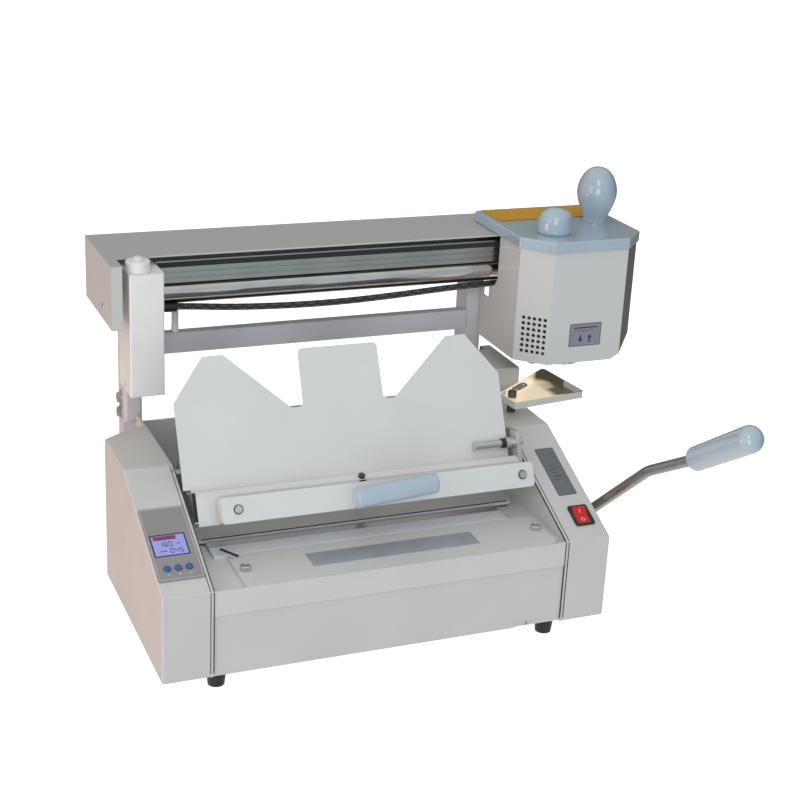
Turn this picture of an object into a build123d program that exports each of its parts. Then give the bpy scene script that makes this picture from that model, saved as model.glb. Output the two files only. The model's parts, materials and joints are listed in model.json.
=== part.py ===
from build123d import *
import math
import os

os.makedirs("parts", exist_ok=True)

# Base: two sheet cheeks with a well between them, millimetres
# The left-right middle of the base is x = 0, its front face y = 0, the lower edge of the cheeks z = 0
base_width = 540.0
cheek_width = 54.0
cheek_front_height = 104.3
cheek_height = 180.2
slope_depth = 175.0
left_cover_depth = 300.0
right_cover_depth = 330.0
frame_depth = 338.0
cover_sheet = 1.5
cover_bend = 2.2
side_plate_thickness = 3.2
half_width = base_width / 2
cover_inner = half_width - cheek_width
well_half = cover_inner - side_plate_thickness
slope_angle = math.atan2(cheek_height - cheek_front_height, slope_depth)
slope_plane = Plane(
    origin=(0, 0, cheek_front_height),
    x_dir=(1, 0, 0),
    z_dir=(0, -math.sin(slope_angle), math.cos(slope_angle)),
)

# Clearances
fit_gap = 0.05
slide_gap = 0.3

# Clamp: its own frame has x to the right, v up the back plate and w out of its front face
clamp_tilt = math.radians(25.58)
clamp_y = 130.9
clamp_z = cheek_height - 14.5
clamp_normal = (0, -math.cos(clamp_tilt), math.sin(clamp_tilt))
clamp_up = (0, math.sin(clamp_tilt), math.cos(clamp_tilt))
clamp_plane = Plane(origin=(0, clamp_y, clamp_z), x_dir=(1, 0, 0), z_dir=clamp_normal)
pivot_v = 22.6
pivot_w = -30.3
pivot_y = clamp_y + pivot_v * clamp_up[1] + pivot_w * clamp_normal[1]
pivot_z = clamp_z + pivot_v * clamp_up[2] + pivot_w * clamp_normal[2]
pivot_radius = 4.0

# Lever shaft
shaft_y = 141.0
shaft_z = 48.0
lever_shaft_radius = 9.0

# Beam over the base
beam_rise = 213.5
beam_top = cheek_height + beam_rise
beam_left = -well_half - 48.2
beam_right = well_half + 172.2
beam_front = 296.0
beam_back = 404.0
beam_bottom = beam_top - 76.7
beam_sheet = 2.0
guide_y = 312.0
guide_z = beam_top - 48.0
guide_radius = 11.75
guide_left = -well_half + 13.8

# Sliding head
head_left = well_half + 30.2
head_width = 163.0
head_front = 201.5
head_back = 338.0
head_top = beam_top + 0.7
head_bottom = head_top - 146.4
head_wall = 1.8


def block(x_span, y_span, z_span, mode=Mode.ADD):
    """A plain block between two values on each axis."""
    spans = (x_span, y_span, z_span)
    middle = tuple((low + high) / 2 for low, high in spans)
    with Locations(middle):
        Box(*(high - low for low, high in spans), mode=mode)


def rod_x(x_span, y, z, radius, mode=Mode.ADD):
    """A round bar along the x axis."""
    with Locations(Location(((x_span[0] + x_span[1]) / 2, y, z), (0, 90, 0))):
        Cylinder(radius, x_span[1] - x_span[0], mode=mode)


def rod_y(y_span, x, z, radius, mode=Mode.ADD):
    """A round bar along the y axis."""
    with Locations(Location((x, (y_span[0] + y_span[1]) / 2, z), (90, 0, 0))):
        Cylinder(radius, y_span[1] - y_span[0], mode=mode)


def rod_z(z_span, x, y, radius, mode=Mode.ADD):
    """A round bar along the z axis."""
    with Locations((x, y, (z_span[0] + z_span[1]) / 2)):
        Cylinder(radius, z_span[1] - z_span[0], mode=mode)


def clamp_side(x):
    """The plane across the clamp at x: its own axes are v and w."""
    return Plane(origin=(x, clamp_y, clamp_z), x_dir=clamp_up, z_dir=(1, 0, 0))


# Left cheek cover with the holes for the display and the buttons
display_x = -(half_width - 25.5)
display_s = 71.8
display_opening = (34.0, 26.0)
button_xs = [-(half_width - 15.0), -(half_width - 27.4), -(half_width - 39.5)]
button_s = 38.6
button_radius = 4.0
rear_corner_y = 271.3
rear_corner_x = 40.0
with BuildPart() as left_cover:
    with BuildSketch(Plane.YZ.offset(-half_width)):
        with BuildLine():
            Polyline(
                (0, 0),
                (0, cheek_front_height),
                (slope_depth, cheek_height),
                (left_cover_depth, cheek_height),
                (left_cover_depth, 0),
                close=True,
            )
        make_face()
    extrude(amount=cheek_width)
    with BuildSketch(Plane.XY):
        with BuildLine():
            Polyline(
                (-half_width - 1, rear_corner_y),
                (-half_width + rear_corner_x, left_cover_depth),
                (-half_width + rear_corner_x, left_cover_depth + 1),
                (-half_width - 1, left_cover_depth + 1),
                close=True,
            )
        make_face()
    extrude(amount=cheek_height, mode=Mode.SUBTRACT)
    fillet(left_cover.edges().filter_by(lambda edge: edge.center().X < -cover_inner - 1), cover_bend)
    offset(amount=-cover_sheet, openings=left_cover.faces().sort_by(Axis.X)[-1])
    with BuildSketch(slope_plane):
        with Locations((display_x, display_s)):
            Rectangle(*display_opening)
        with Locations([(x, button_s) for x in button_xs]):
            Circle(button_radius + 0.5)
    extrude(amount=-2 * cover_sheet, mode=Mode.SUBTRACT)

# Right cheek cover with the switch opening and the hole for the lever shaft
switch_x = half_width - 22.8
switch_s = 36.4
switch_opening = (21.2, 27.2)
with BuildPart() as right_cover:
    with BuildSketch(Plane.YZ.offset(cover_inner)):
        with BuildLine():
            Polyline(
                (0, 0),
                (0, cheek_front_height),
                (slope_depth, cheek_height),
                (right_cover_depth, cheek_height),
                (right_cover_depth, 0),
                close=True,
            )
        make_face()
    extrude(amount=cheek_width)
    fillet(right_cover.edges().filter_by(lambda edge: edge.center().X > cover_inner + 1), cover_bend)
    offset(amount=-cover_sheet, openings=right_cover.faces().sort_by(Axis.X)[0])
    with BuildSketch(slope_plane):
        with Locations((switch_x, switch_s)):
            Rectangle(*switch_opening)
    extrude(amount=-2 * cover_sheet, mode=Mode.SUBTRACT)
    rod_x((half_width - 5, half_width + 5), shaft_y, shaft_z, lever_shaft_radius + 1, Mode.SUBTRACT)

# Side plates of the well, each with a ledge that carries the moving nip plate
nip_plate_bottom = 101.5
ledge_y = (118.5, 185.0)
ledge_height = 8.0
ledge_width = 17.8
plate_front = 0.6
with BuildPart() as side_plates:
    for side, start in ((-1, -cover_inner), (1, well_half)):
        with BuildSketch(Plane.YZ.offset(start)):
            with BuildLine():
                Polyline(
                    (plate_front, 0),
                    (plate_front, cheek_front_height),
                    (slope_depth, cheek_height),
                    (frame_depth, cheek_height),
                    (frame_depth, 0),
                    close=True,
                )
            make_face()
            with Locations((shaft_y, shaft_z)):
                Circle(lever_shaft_radius + fit_gap, mode=Mode.SUBTRACT)
            with Locations((pivot_y, pivot_z)):
                Circle(pivot_radius + fit_gap, mode=Mode.SUBTRACT)
        extrude(amount=side_plate_thickness)
        ledge_x = sorted((side * well_half, side * (well_half - ledge_width)))
        ledge_top = nip_plate_bottom - slide_gap
        block(ledge_x, ledge_y, (ledge_top - ledge_height, ledge_top))

# Base pan with the upright back plate and the power inlet opening
pan_sheet = 2.0
pan_front = 4.0
pan_flange = 24.0
back_sheet = 4.0
back_face = frame_depth + back_sheet
back_x = (-well_half - 19.2, well_half + 39.2)
back_height = 170.0
inlet_x = -120.0
inlet_z = 45.0
inlet_opening = (28.0, 21.0)
with BuildPart() as chassis:
    block((-well_half, well_half), (pan_front, frame_depth), (0, pan_sheet))
    block((-well_half, well_half), (pan_front, pan_front + pan_sheet), (0, pan_flange))
    for side in (-1, 1):
        flange_x = sorted((side * well_half, side * (well_half - pan_sheet)))
        block(flange_x, (pan_front, frame_depth), (0, pan_flange))
    block(back_x, (frame_depth, back_face), (0, back_height))
    with Locations((inlet_x, frame_depth + back_sheet / 2, inlet_z)):
        Box(inlet_opening[0], 2 * back_sheet, inlet_opening[1], mode=Mode.SUBTRACT)

# Front panel with a raised lower edge at the right
panel_sheet = 2.0
panel_face = 2.0
panel_top = 73.0
panel_step_x = 153.0
panel_step = 6.0
with BuildPart() as front_panel:
    panel_half = well_half - slide_gap
    block((-panel_half, panel_half), (panel_face, panel_face + panel_sheet), (0, panel_top))
    step_span = (panel_step_x, well_half + 1)
    block(step_span, (panel_face - 1, panel_face + panel_sheet + 1), (-1, panel_step), Mode.SUBTRACT)

# Deck sheet: front sill, flat deck and the two arms beside the nip jaw
deck_top = 101.0
deck_sheet_thickness = 2.0
sill_face = 0.6
sill_bottom = panel_top + 0.5
nip_left = -well_half + 22.8
nip_right = well_half - 39.8
nip_front = 80.7
with BuildPart() as deck_sheet:
    sill_back = sill_face + deck_sheet_thickness
    deck_plate_top = cheek_front_height - slide_gap
    block((-well_half, well_half), (sill_face, sill_back), (sill_bottom, deck_plate_top))
    block((-well_half, well_half), (sill_back, 118), (deck_top - deck_sheet_thickness, deck_top))
    block((nip_left - 0.4, nip_right + 0.4), (nip_front, 119), (90, deck_top + 1), Mode.SUBTRACT)

# Raised deck plate with a rounded right end and a slanting slot at its left rear corner
deck_plate_left = -well_half + 36.8
deck_plate_right = well_half - 7.8
slot_middle = (-well_half + 35.6, 81.0)
slot_size = (24.0, 3.6)
slot_turn = -54.0
with BuildPart() as deck_plate:
    with BuildSketch(Plane.XY.offset(deck_top)):
        with BuildLine():
            Polyline(
                (deck_plate_left, sill_face + deck_sheet_thickness),
                (deck_plate_right, sill_face + deck_sheet_thickness),
                (deck_plate_right, nip_front),
                (deck_plate_left, nip_front),
                close=True,
            )
        make_face()
        fillet(vertices().sort_by(Axis.X)[-2:], 12.0)
        with Locations(slot_middle):
            SlotOverall(*slot_size, rotation=slot_turn, mode=Mode.SUBTRACT)
    extrude(amount=cheek_front_height - slide_gap - deck_top)

# Bare name plate on the deck
name_plate_y = (26.5, 58.3)
name_plate_x = (-90.0, 113.5)
with BuildPart() as name_plate:
    plate_base = cheek_front_height - slide_gap
    block(name_plate_x, name_plate_y, (plate_base, plate_base + 0.8))

# Four rubber feet
foot_height = 18.0
foot_radii = (9.5, 11.5)
foot_xs = (-half_width + 65, half_width - 70)
foot_ys = (17, left_cover_depth)
foot_points = [(x, y) for y in foot_ys for x in foot_xs]
with BuildPart() as feet:
    with Locations([(x, y, -foot_height / 2) for x, y in foot_points]):
        Cone(foot_radii[0], foot_radii[1], foot_height)

# Control panel with the openings for the display and three buttons
panel_x = (-half_width + 2.0, -half_width + 53.5)
panel_s = (22.0, 126.5)
panel_thickness = 1.6
window_size = (37.7, 29.5)
with BuildPart() as control_panel:
    with BuildSketch(slope_plane):
        with Locations((sum(panel_x) / 2, sum(panel_s) / 2)):
            RectangleRounded(panel_x[1] - panel_x[0], panel_s[1] - panel_s[0], 2.0)
        with Locations((display_x, display_s)):
            Rectangle(*window_size, mode=Mode.SUBTRACT)
        with Locations([(x, button_s) for x in button_xs]):
            Circle(button_radius + slide_gap, mode=Mode.SUBTRACT)
    extrude(amount=panel_thickness)

# Display: glass in the panel window, module under the cover
display_depth = 8.0
with BuildPart() as display:
    with BuildSketch(slope_plane):
        with Locations((display_x, display_s)):
            Rectangle(window_size[0] - 0.4, window_size[1] - 0.4)
    extrude(amount=panel_thickness - 0.3)
    with BuildSketch(slope_plane):
        with Locations((display_x, display_s)):
            Rectangle(display_opening[0] - 1.0, display_opening[1] - 1.0)
    extrude(amount=-display_depth)

# Three sprung push buttons with a flange under the cover and a thin stem
button_top = 3.2
button_flange = (5.2, -3.9, -2.7)
button_stem = (2.5, -11.0)
buttons = []
for x in button_xs:
    with BuildPart() as button:
        with BuildSketch(slope_plane.offset(button_flange[2])):
            with Locations((x, button_s)):
                Circle(button_radius)
        extrude(amount=button_top - button_flange[2])
        fillet(button.edges().sort_by(Axis(slope_plane.origin, slope_plane.z_dir))[-1], 0.8)
        with BuildSketch(slope_plane.offset(button_flange[1])):
            with Locations((x, button_s)):
                Circle(button_flange[0])
        extrude(amount=button_flange[2] - button_flange[1])
        with BuildSketch(slope_plane.offset(button_stem[1])):
            with Locations((x, button_s)):
                Circle(button_stem[0])
        extrude(amount=button_flange[1] - button_stem[1])
    buttons.append(button)

# Mains switch: bezel and housing, and the rocker in it
bezel_size = (24.9, 30.7)
bezel_height = 2.2
housing_depth = 22.0
well_size = (19.6, 25.4)
well_floor = -9.0
with BuildPart() as switch_housing:
    with BuildSketch(slope_plane):
        with Locations((switch_x, switch_s)):
            RectangleRounded(*bezel_size, 2.5)
    extrude(amount=bezel_height)
    with BuildSketch(slope_plane.offset(-housing_depth)):
        with Locations((switch_x, switch_s)):
            Rectangle(switch_opening[0] - 0.6, switch_opening[1] - 0.6)
    extrude(amount=housing_depth)
    with BuildSketch(slope_plane.offset(well_floor)):
        with Locations((switch_x, switch_s)):
            Rectangle(well_size[0] - 1.4, well_size[1])
    extrude(amount=bezel_height - well_floor, mode=Mode.SUBTRACT)

rocker_half_length = 11.8
rocker_width = 17.4
rocker_tilt = math.radians(8.0)
rocker_plane = Plane(
    origin=slope_plane.from_local_coords((switch_x, switch_s, 0)),
    x_dir=(0, math.cos(slope_angle + rocker_tilt), math.sin(slope_angle + rocker_tilt)),
    z_dir=(1, 0, 0),
)
with BuildPart() as switch_rocker:
    with BuildSketch(rocker_plane):
        with BuildLine():
            Polyline(
                (-rocker_half_length, -3.6),
                (-rocker_half_length, 2.8),
                (0, 1.0),
                (rocker_half_length, 2.8),
                (rocker_half_length, -3.6),
                (0, -6.0),
                close=True,
            )
        make_face()
    extrude(amount=rocker_width / 2, both=True)

# Transformer on the floor of the left cheek
with BuildPart() as transformer:
    core_x = (-half_width + 7, -half_width + 47)
    block(core_x, (195, 257), (cover_sheet, 52))
    block((core_x[0] + 3, core_x[1] - 3), (183, 269), (cover_sheet + 8, 46))

# Mains inlet in the back plate
inlet_pin = (2.0, 5.0, 14.0)
with BuildPart() as power_inlet:
    flange_y = (back_face, back_face + 3)
    block((inlet_x - 17, inlet_x + 17), flange_y, (inlet_z - 13.5, inlet_z + 13.5))
    body_x = (inlet_x - inlet_opening[0] / 2 + 0.3, inlet_x + inlet_opening[0] / 2 - 0.3)
    body_z = (inlet_z - inlet_opening[1] / 2 + 0.3, inlet_z + inlet_opening[1] / 2 - 0.3)
    block(body_x, (back_face - 24, back_face), body_z)
    socket_z = (inlet_z - 8, inlet_z + 8)
    block((inlet_x - 12, inlet_x + 12), (back_face - 16, back_face + 4), socket_z, Mode.SUBTRACT)
    for pin_x, pin_z in ((-7, -2), (0, 2), (7, -2)):
        pin_span = (inlet_x + pin_x - inlet_pin[0] / 2, inlet_x + pin_x + inlet_pin[0] / 2)
        pin_rise = (inlet_z + pin_z - inlet_pin[1] / 2, inlet_z + pin_z + inlet_pin[1] / 2)
        block(pin_span, (back_face - 16, back_face - 16 + inlet_pin[2]), pin_rise)

# Two hollow posts with the crossbar welded between them, and the conduit's hole in the crossbar
post_left_x = (-well_half - 16.2, -well_half + 5.8)
post_right_x = (well_half + 13.9, well_half + 35.9)
post_depth = 38.0
post_wall = 2.5
post_corner = 4.0
crossbar_z = (255.0, 281.0)
crossbar_depth = 14.0
conduit_point = (-164.0, back_face + crossbar_depth / 2)
conduit_radius = 4.5
conduit_seat = 4.0
with BuildPart() as post_frame:
    for span in (post_left_x, post_right_x):
        with BuildSketch(Plane.XY.offset(pan_sheet)):
            with Locations(((span[0] + span[1]) / 2, back_face + post_depth / 2)):
                RectangleRounded(span[1] - span[0], post_depth, post_corner)
                post_inside = (span[1] - span[0] - 2 * post_wall, post_depth - 2 * post_wall)
                RectangleRounded(*post_inside, post_corner - post_wall, mode=Mode.SUBTRACT)
        extrude(amount=beam_top - beam_sheet - pan_sheet)
    bar_x = (post_left_x[1], post_right_x[0])
    block(bar_x, (back_face, back_face + crossbar_depth), crossbar_z)
    bar_inside_y = (back_face + 2, back_face + crossbar_depth - 2)
    block(bar_x, bar_inside_y, (crossbar_z[0] + 2, crossbar_z[1] - 2), Mode.SUBTRACT)
    conduit_hole = (crossbar_z[1] - conduit_seat, crossbar_z[1] + 1)
    rod_z(conduit_hole, *conduit_point, conduit_radius + fit_gap, Mode.SUBTRACT)

# Folded beam cover with its left end plate and the front flange beside it
cover_end_front = 261.3
front_flange = 13.0
with BuildPart() as beam_cover:
    top_z = (beam_top - beam_sheet, beam_top)
    wall_z = (beam_bottom, beam_top - beam_sheet)
    block((beam_left, beam_right), (beam_front, beam_back), top_z)
    block((beam_left, beam_left + front_flange), (cover_end_front, beam_front), top_z)
    block((beam_left, beam_right), (beam_back - beam_sheet, beam_back), wall_z)
    block((beam_left, beam_left + beam_sheet), (cover_end_front, beam_back), wall_z)
    flange_span = (cover_end_front, cover_end_front + beam_sheet)
    block((beam_left, beam_left + front_flange), flange_span, wall_z)
    right_end_y = (beam_front + 1, beam_back - beam_sheet)
    right_end_z = (beam_bottom + 6.5, beam_top - beam_sheet)
    block((beam_right - beam_sheet, beam_right), right_end_y, right_end_z)

# Bar inside the beam that carries the rails, with the shaft cradle and the conduit clip
web_front = 330.0
web_x = (beam_left + beam_sheet, beam_right - beam_sheet)
web_bottom = beam_bottom + 6.5
cradle_x = (well_half + 160.2, well_half + 170.2)
with BuildPart() as beam_bar:
    block(web_x, (web_front, back_face), (web_bottom, beam_top - beam_sheet))
    block(cradle_x, (guide_y - 15, web_front), (guide_z - 14.7, guide_z + 4.3))
    rod_x((cradle_x[0] - 1, cradle_x[1] + 1), guide_y, guide_z, guide_radius + fit_gap, Mode.SUBTRACT)
    clip_x = (conduit_point[0] - 9, conduit_point[0] + 9)
    block(clip_x, (back_face, conduit_point[1] + 8), (web_bottom + 4, web_bottom + 14))
    rod_z((web_bottom, web_bottom + 20), *conduit_point, conduit_radius + fit_gap, Mode.SUBTRACT)

# Upper rail: a flanged section with three grooves along its front
rail_front = 300.0
rail_z = (beam_top - 35.7, beam_top - 8.2)
rail_flange = 4.0
rail_end = well_half + 167.2
groove = 1.0
with BuildPart() as upper_rail:
    rail_x = (guide_left, rail_end)
    block(rail_x, (rail_front, rail_front + rail_flange), rail_z)
    block(rail_x, (rail_front + rail_flange, web_front), (rail_z[0] + 8, rail_z[0] + 19))
    for step in (6.5, 13.5, 20.5):
        groove_z = (rail_z[0] + step - groove, rail_z[0] + step + groove)
        block((guide_left - 1, rail_end + 1), (rail_front - 1, rail_front + groove), groove_z, Mode.SUBTRACT)

# Chrome guide shaft under the rail
with BuildPart() as guide_shaft:
    rod_x((guide_left - 14, cradle_x[1] - 2), guide_y, guide_z, guide_radius)

# End box at the left of the rails, fixed to the beam bar by the block behind it
end_box_x = (guide_left - 41.0, guide_left)
end_box_y = (261.0, 320.6)
end_box_z = (beam_top - 160.7, beam_top - 11.3)
end_box_wall = 3.0
cap_knob_point = (end_box_x[0] + 14.0, 277.6)
with BuildPart() as end_box:
    block(end_box_x, end_box_y, end_box_z)
    fillet(end_box.edges().filter_by(Axis.Z), 2.0)
    inside_x = (end_box_x[0] + end_box_wall, end_box_x[1] - end_box_wall)
    inside_y = (end_box_y[0] + end_box_wall, end_box_y[1] - end_box_wall)
    block(inside_x, inside_y, (end_box_z[0] + end_box_wall, end_box_z[1] - end_box_wall), Mode.SUBTRACT)
    block(end_box_x, (end_box_y[1] - 0.1, web_front), (end_box_z[1] - 58, end_box_z[1]))
    rod_x((guide_left - 14.5, guide_left + 1), guide_y, guide_z, guide_radius + fit_gap, Mode.SUBTRACT)
    rod_z((end_box_z[1] - 10, end_box_z[1] + 1), *cap_knob_point, 3.0 + fit_gap, Mode.SUBTRACT)
    rod_x((end_box_x[0] - 1, end_box_x[0] + 5), 289.0, end_box_z[0] + 7, 3.6, Mode.SUBTRACT)

# White cap knob on the end box
with BuildPart() as cap_knob:
    knob_base = end_box_z[1] + slide_gap
    rod_z((knob_base, knob_base + 13), *cap_knob_point, 14.5)
    fillet(cap_knob.edges().sort_by(Axis.Z)[-1], 2.0)
    rod_z((knob_base + 12, knob_base + 17), *cap_knob_point, 5.0)
    rod_z((end_box_z[1] - 9, knob_base + 1), *cap_knob_point, 3.0)

# Cable gland under the beam bar
cable_y = 322.0
cable_z = beam_top - 71.2
cable_radius = 4.0
gland_x = (guide_left + 13.0, guide_left + 29.0)
with BuildPart() as cable_gland:
    rod_x(gland_x, cable_y, cable_z, 7.0)
    block((gland_x[0] + 2, gland_x[1] - 3), (cable_y, web_front), (cable_z + 1, cable_z + 8))
    rod_x((gland_x[0] - 1, gland_x[1] + 1), cable_y, cable_z, cable_radius + 0.8, Mode.SUBTRACT)

# Braided cable that hangs from the gland to the head
cable_points = [
    (gland_x[0] + 4, cable_y, cable_z),
    (gland_x[1] + 10, cable_y, cable_z - 1.2),
    (-90, cable_y, cable_z - 8.0),
    (15, cable_y, cable_z - 11.3),
    (110, cable_y, cable_z - 8.0),
    (head_left - 40, cable_y, cable_z - 1.8),
    (head_left + 24.4, cable_y, cable_z - 0.5),
]
cable_bends = [120.0, 400.0, 600.0, 600.0, 400.0]
with BuildPart() as head_cable:
    with BuildLine() as cable_line:
        FilletPolyline(*cable_points, radius=cable_bends)
    with BuildSketch(cable_line.line ^ 0):
        Circle(cable_radius)
    sweep()

# Ribbed conduit from the crossbar up into the beam
rib_pitch = 3.0
rib_depth = 0.7
conduit_bore = 3.2
conduit_bottom = crossbar_z[1] - conduit_seat
conduit_length = beam_bottom + 24.0 - conduit_bottom
conduit_origin = (*conduit_point, conduit_bottom)
conduit_plane = Plane(origin=conduit_origin, x_dir=(1, 0, 0), z_dir=(0, -1, 0))
rib_count = int((conduit_length - 20) / rib_pitch)
rib_start = (conduit_length - rib_count * rib_pitch) / 2
rib_outline = [(conduit_bore, 0), (conduit_radius, 0), (conduit_radius, rib_start)]
for rib in range(rib_count):
    rib_base = rib_start + rib * rib_pitch
    rib_outline.append((conduit_radius - rib_depth, rib_base + 0.7))
    rib_outline.append((conduit_radius - rib_depth, rib_base + 1.5))
    rib_outline.append((conduit_radius, rib_base + 2.2))
    rib_outline.append((conduit_radius, rib_base + rib_pitch))
rib_outline.append((conduit_radius, conduit_length))
rib_outline.append((conduit_bore, conduit_length))
with BuildPart() as conduit:
    with BuildSketch(conduit_plane):
        with BuildLine():
            Polyline(*rib_outline, close=True)
        make_face()
    revolve(axis=Axis(conduit_origin, (0, 0, 1)))

# Raised box on the right cheek
side_box_x = (cover_inner + 6.0, half_width)
side_box_y = (262.0, 354.0)
side_box_height = 44.8
with BuildPart() as side_box:
    block(side_box_x, side_box_y, (cheek_height, cheek_height + side_box_height))
    fillet(side_box.edges().filter_by(lambda edge: edge.center().Z > cheek_height + 1), 2.0)
    offset(amount=-cover_sheet, openings=side_box.faces().sort_by(Axis.Z)[0])
    block(side_box_x, (frame_depth, side_box_y[1]), (cheek_height, cheek_height + cover_sheet))
    post_notch_x = (cover_inner, post_right_x[1] + 6.0)
    side_box_z = (cheek_height - 1, cheek_height + side_box_height + 1)
    block(post_notch_x, (frame_depth, side_box_y[1] + 1), side_box_z, Mode.SUBTRACT)

# Chip tray under the head, on a swivel pin in the right cheek
tray_floor = (cheek_height + 17.8, cheek_height + 19.3)
tray_rim = cheek_height + 26.8
tray_pivot = (cover_inner + 27.0, 226.0)
tray_outline = [
    (cover_inner + 12, 188),
    (cover_inner + 117.5, 203),
    (cover_inner + 106, 297),
    (cover_inner + 10, 226),
]
with BuildPart() as tray:
    with BuildSketch(Plane.XY.offset(tray_floor[0])):
        with BuildLine():
            Polyline(*tray_outline, close=True)
        make_face()
        fillet(vertices(), 4.0)
    extrude(amount=tray_rim - tray_floor[0])
    with BuildSketch(Plane.XY.offset(tray_floor[1])):
        with BuildLine():
            Polyline(*tray_outline, close=True)
        make_face()
        fillet(vertices(), 4.0)
        offset(amount=-1.5)
    extrude(amount=tray_rim, mode=Mode.SUBTRACT)
    rod_z((tray_floor[0] - 1, tray_floor[1] + 1), *tray_pivot, 4.0 + fit_gap, Mode.SUBTRACT)
with BuildPart() as tray_pin:
    rod_z((cheek_height, tray_floor[0] - slide_gap), *tray_pivot, 5.6)
    rod_z((tray_floor[0] - 1, tray_floor[1] + 1), *tray_pivot, 4.0)
    rod_z((tray_floor[1] + slide_gap, tray_rim + 1), *tray_pivot, 5.6)
    fillet(tray_pin.edges().sort_by(Axis.Z)[-1], 1.2)

# Front nip jaw on its cross beam, and the bright edge strip
nip_jaw_top = cheek_front_height + 0.2
nip_strip_y = (103.5, 116.0)
nip_beam_y = (83.0, 103.5)
nip_beam_z = (60.0, 92.0)
with BuildPart() as front_nip_jaw:
    block((nip_left, nip_right), (nip_front + 0.2, nip_strip_y[0]), (nip_beam_z[1], nip_jaw_top))
    block((-well_half, well_half), nip_beam_y, nip_beam_z)
    beam_inside_y = (nip_beam_y[0] + 3, nip_beam_y[1] - 3)
    block((-well_half, well_half), beam_inside_y, (nip_beam_z[0] + 3, nip_beam_z[1] - 3), Mode.SUBTRACT)
    with BuildSketch(Plane.XY.offset(nip_jaw_top - 3)):
        with Locations(slot_middle):
            SlotOverall(*slot_size, rotation=slot_turn)
    extrude(amount=4, mode=Mode.SUBTRACT)
with BuildPart() as front_nip_edge:
    block((nip_left, nip_right), nip_strip_y, (nip_beam_z[1], nip_jaw_top))

# Rear nip plate on the ledges, with two yokes hanging around the eccentrics
nip_plate_half = well_half - 12.8
nip_plate_y = (122.0, 165.0)
nip_plate_thickness = 4.0
eccentric_radius = 20.0
eccentric_offset = 8.76
eccentric_turn = math.radians(71.0)
eccentric_shift = eccentric_offset * math.cos(eccentric_turn)
eccentric_rise = eccentric_offset * math.sin(eccentric_turn)
yoke_half_x = well_half - 23.8
yoke_thickness = 6.0
yoke_middle = (shaft_y + eccentric_shift, shaft_z + eccentric_rise + 0.2)
with BuildPart() as rear_nip_plate:
    with BuildSketch(Plane.XY.offset(nip_plate_bottom)):
        with Locations((0, sum(nip_plate_y) / 2)):
            RectangleRounded(2 * nip_plate_half, nip_plate_y[1] - nip_plate_y[0], 6.5)
    extrude(amount=nip_plate_thickness)
    for side in (-1, 1):
        with BuildSketch(Plane.YZ.offset(side * yoke_half_x - yoke_thickness / 2)):
            with Locations(yoke_middle):
                Rectangle(2 * eccentric_radius + 16, 2 * eccentric_radius + 18)
            with Locations((yoke_middle[0] + 3, (nip_plate_bottom + yoke_middle[1]) / 2)):
                Rectangle(30, nip_plate_bottom - yoke_middle[1])
            with Locations(yoke_middle):
                Rectangle(2 * eccentric_radius + 0.6, 2 * eccentric_radius + 4, mode=Mode.SUBTRACT)
        extrude(amount=yoke_thickness)

# Lever shaft with the two eccentrics
lever_plane_x = half_width + 16.0
with BuildPart() as lever_shaft:
    rod_x((-cover_inner, lever_plane_x + 8), shaft_y, shaft_z, lever_shaft_radius)
    eccentric_z = shaft_z + eccentric_rise
    for side in (-1, 1):
        cam_x = (side * yoke_half_x - 4, side * yoke_half_x + 4)
        rod_x(cam_x, shaft_y + eccentric_shift, eccentric_z, eccentric_radius)

# Lever arm: hub, round rod and its splayed upper end
grip_start = (lever_plane_x + 11.7, -113.4, 246.3)
grip_end = (lever_plane_x + 22, -205.0, 308.0)
grip_length = math.dist(grip_start, grip_end)
grip_axis = tuple((end - start) / grip_length for start, end in zip(grip_start, grip_end))
rod_radius = 6.3
rod_inside_grip = 30.0
rod_tip = tuple(start + rod_inside_grip * along for start, along in zip(grip_start, grip_axis))
rod_points = [(lever_plane_x, 131.9, 55.8), (lever_plane_x, -40.6, 203.2), grip_start, rod_tip]
with BuildPart() as lever_arm:
    with BuildLine() as rod_line:
        FilletPolyline(*rod_points, radius=70.0)
    with BuildSketch(rod_line.line ^ 0):
        Circle(rod_radius)
    sweep()
    rod_x((lever_plane_x - 10, lever_plane_x + 10), shaft_y, shaft_z, 17.0)
    hub_bore = lever_shaft_radius + fit_gap
    rod_x((lever_plane_x - 12, lever_plane_x + 12), shaft_y, shaft_z, hub_bore, Mode.SUBTRACT)

# Tapered hand grip with a rounded end
grip_side = Vector(1, 0, 0).cross(Vector(*grip_axis)).normalized()
grip_plane = Plane(origin=grip_start, x_dir=grip_axis, z_dir=grip_side)
with BuildPart() as lever_grip:
    with BuildSketch(grip_plane):
        with BuildLine():
            Line((0, 0), (0, 11.4))
            Line((0, 11.4), (2.4, 13.9))
            Line((2.4, 13.9), (grip_length - 14, 15.3))
            Spline(
                (grip_length - 14, 15.3),
                (grip_length - 3, 10.5),
                (grip_length, 0),
                tangents=[(1, 0.03), (0, -1)],
            )
            Line((grip_length, 0), (0, 0))
        make_face()
    revolve(axis=Axis(grip_start, grip_axis))
    with BuildSketch(Plane(origin=grip_start, z_dir=grip_axis)):
        Circle(rod_radius + 2 * fit_gap)
    extrude(amount=rod_inside_grip + 1, mode=Mode.SUBTRACT)

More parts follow.
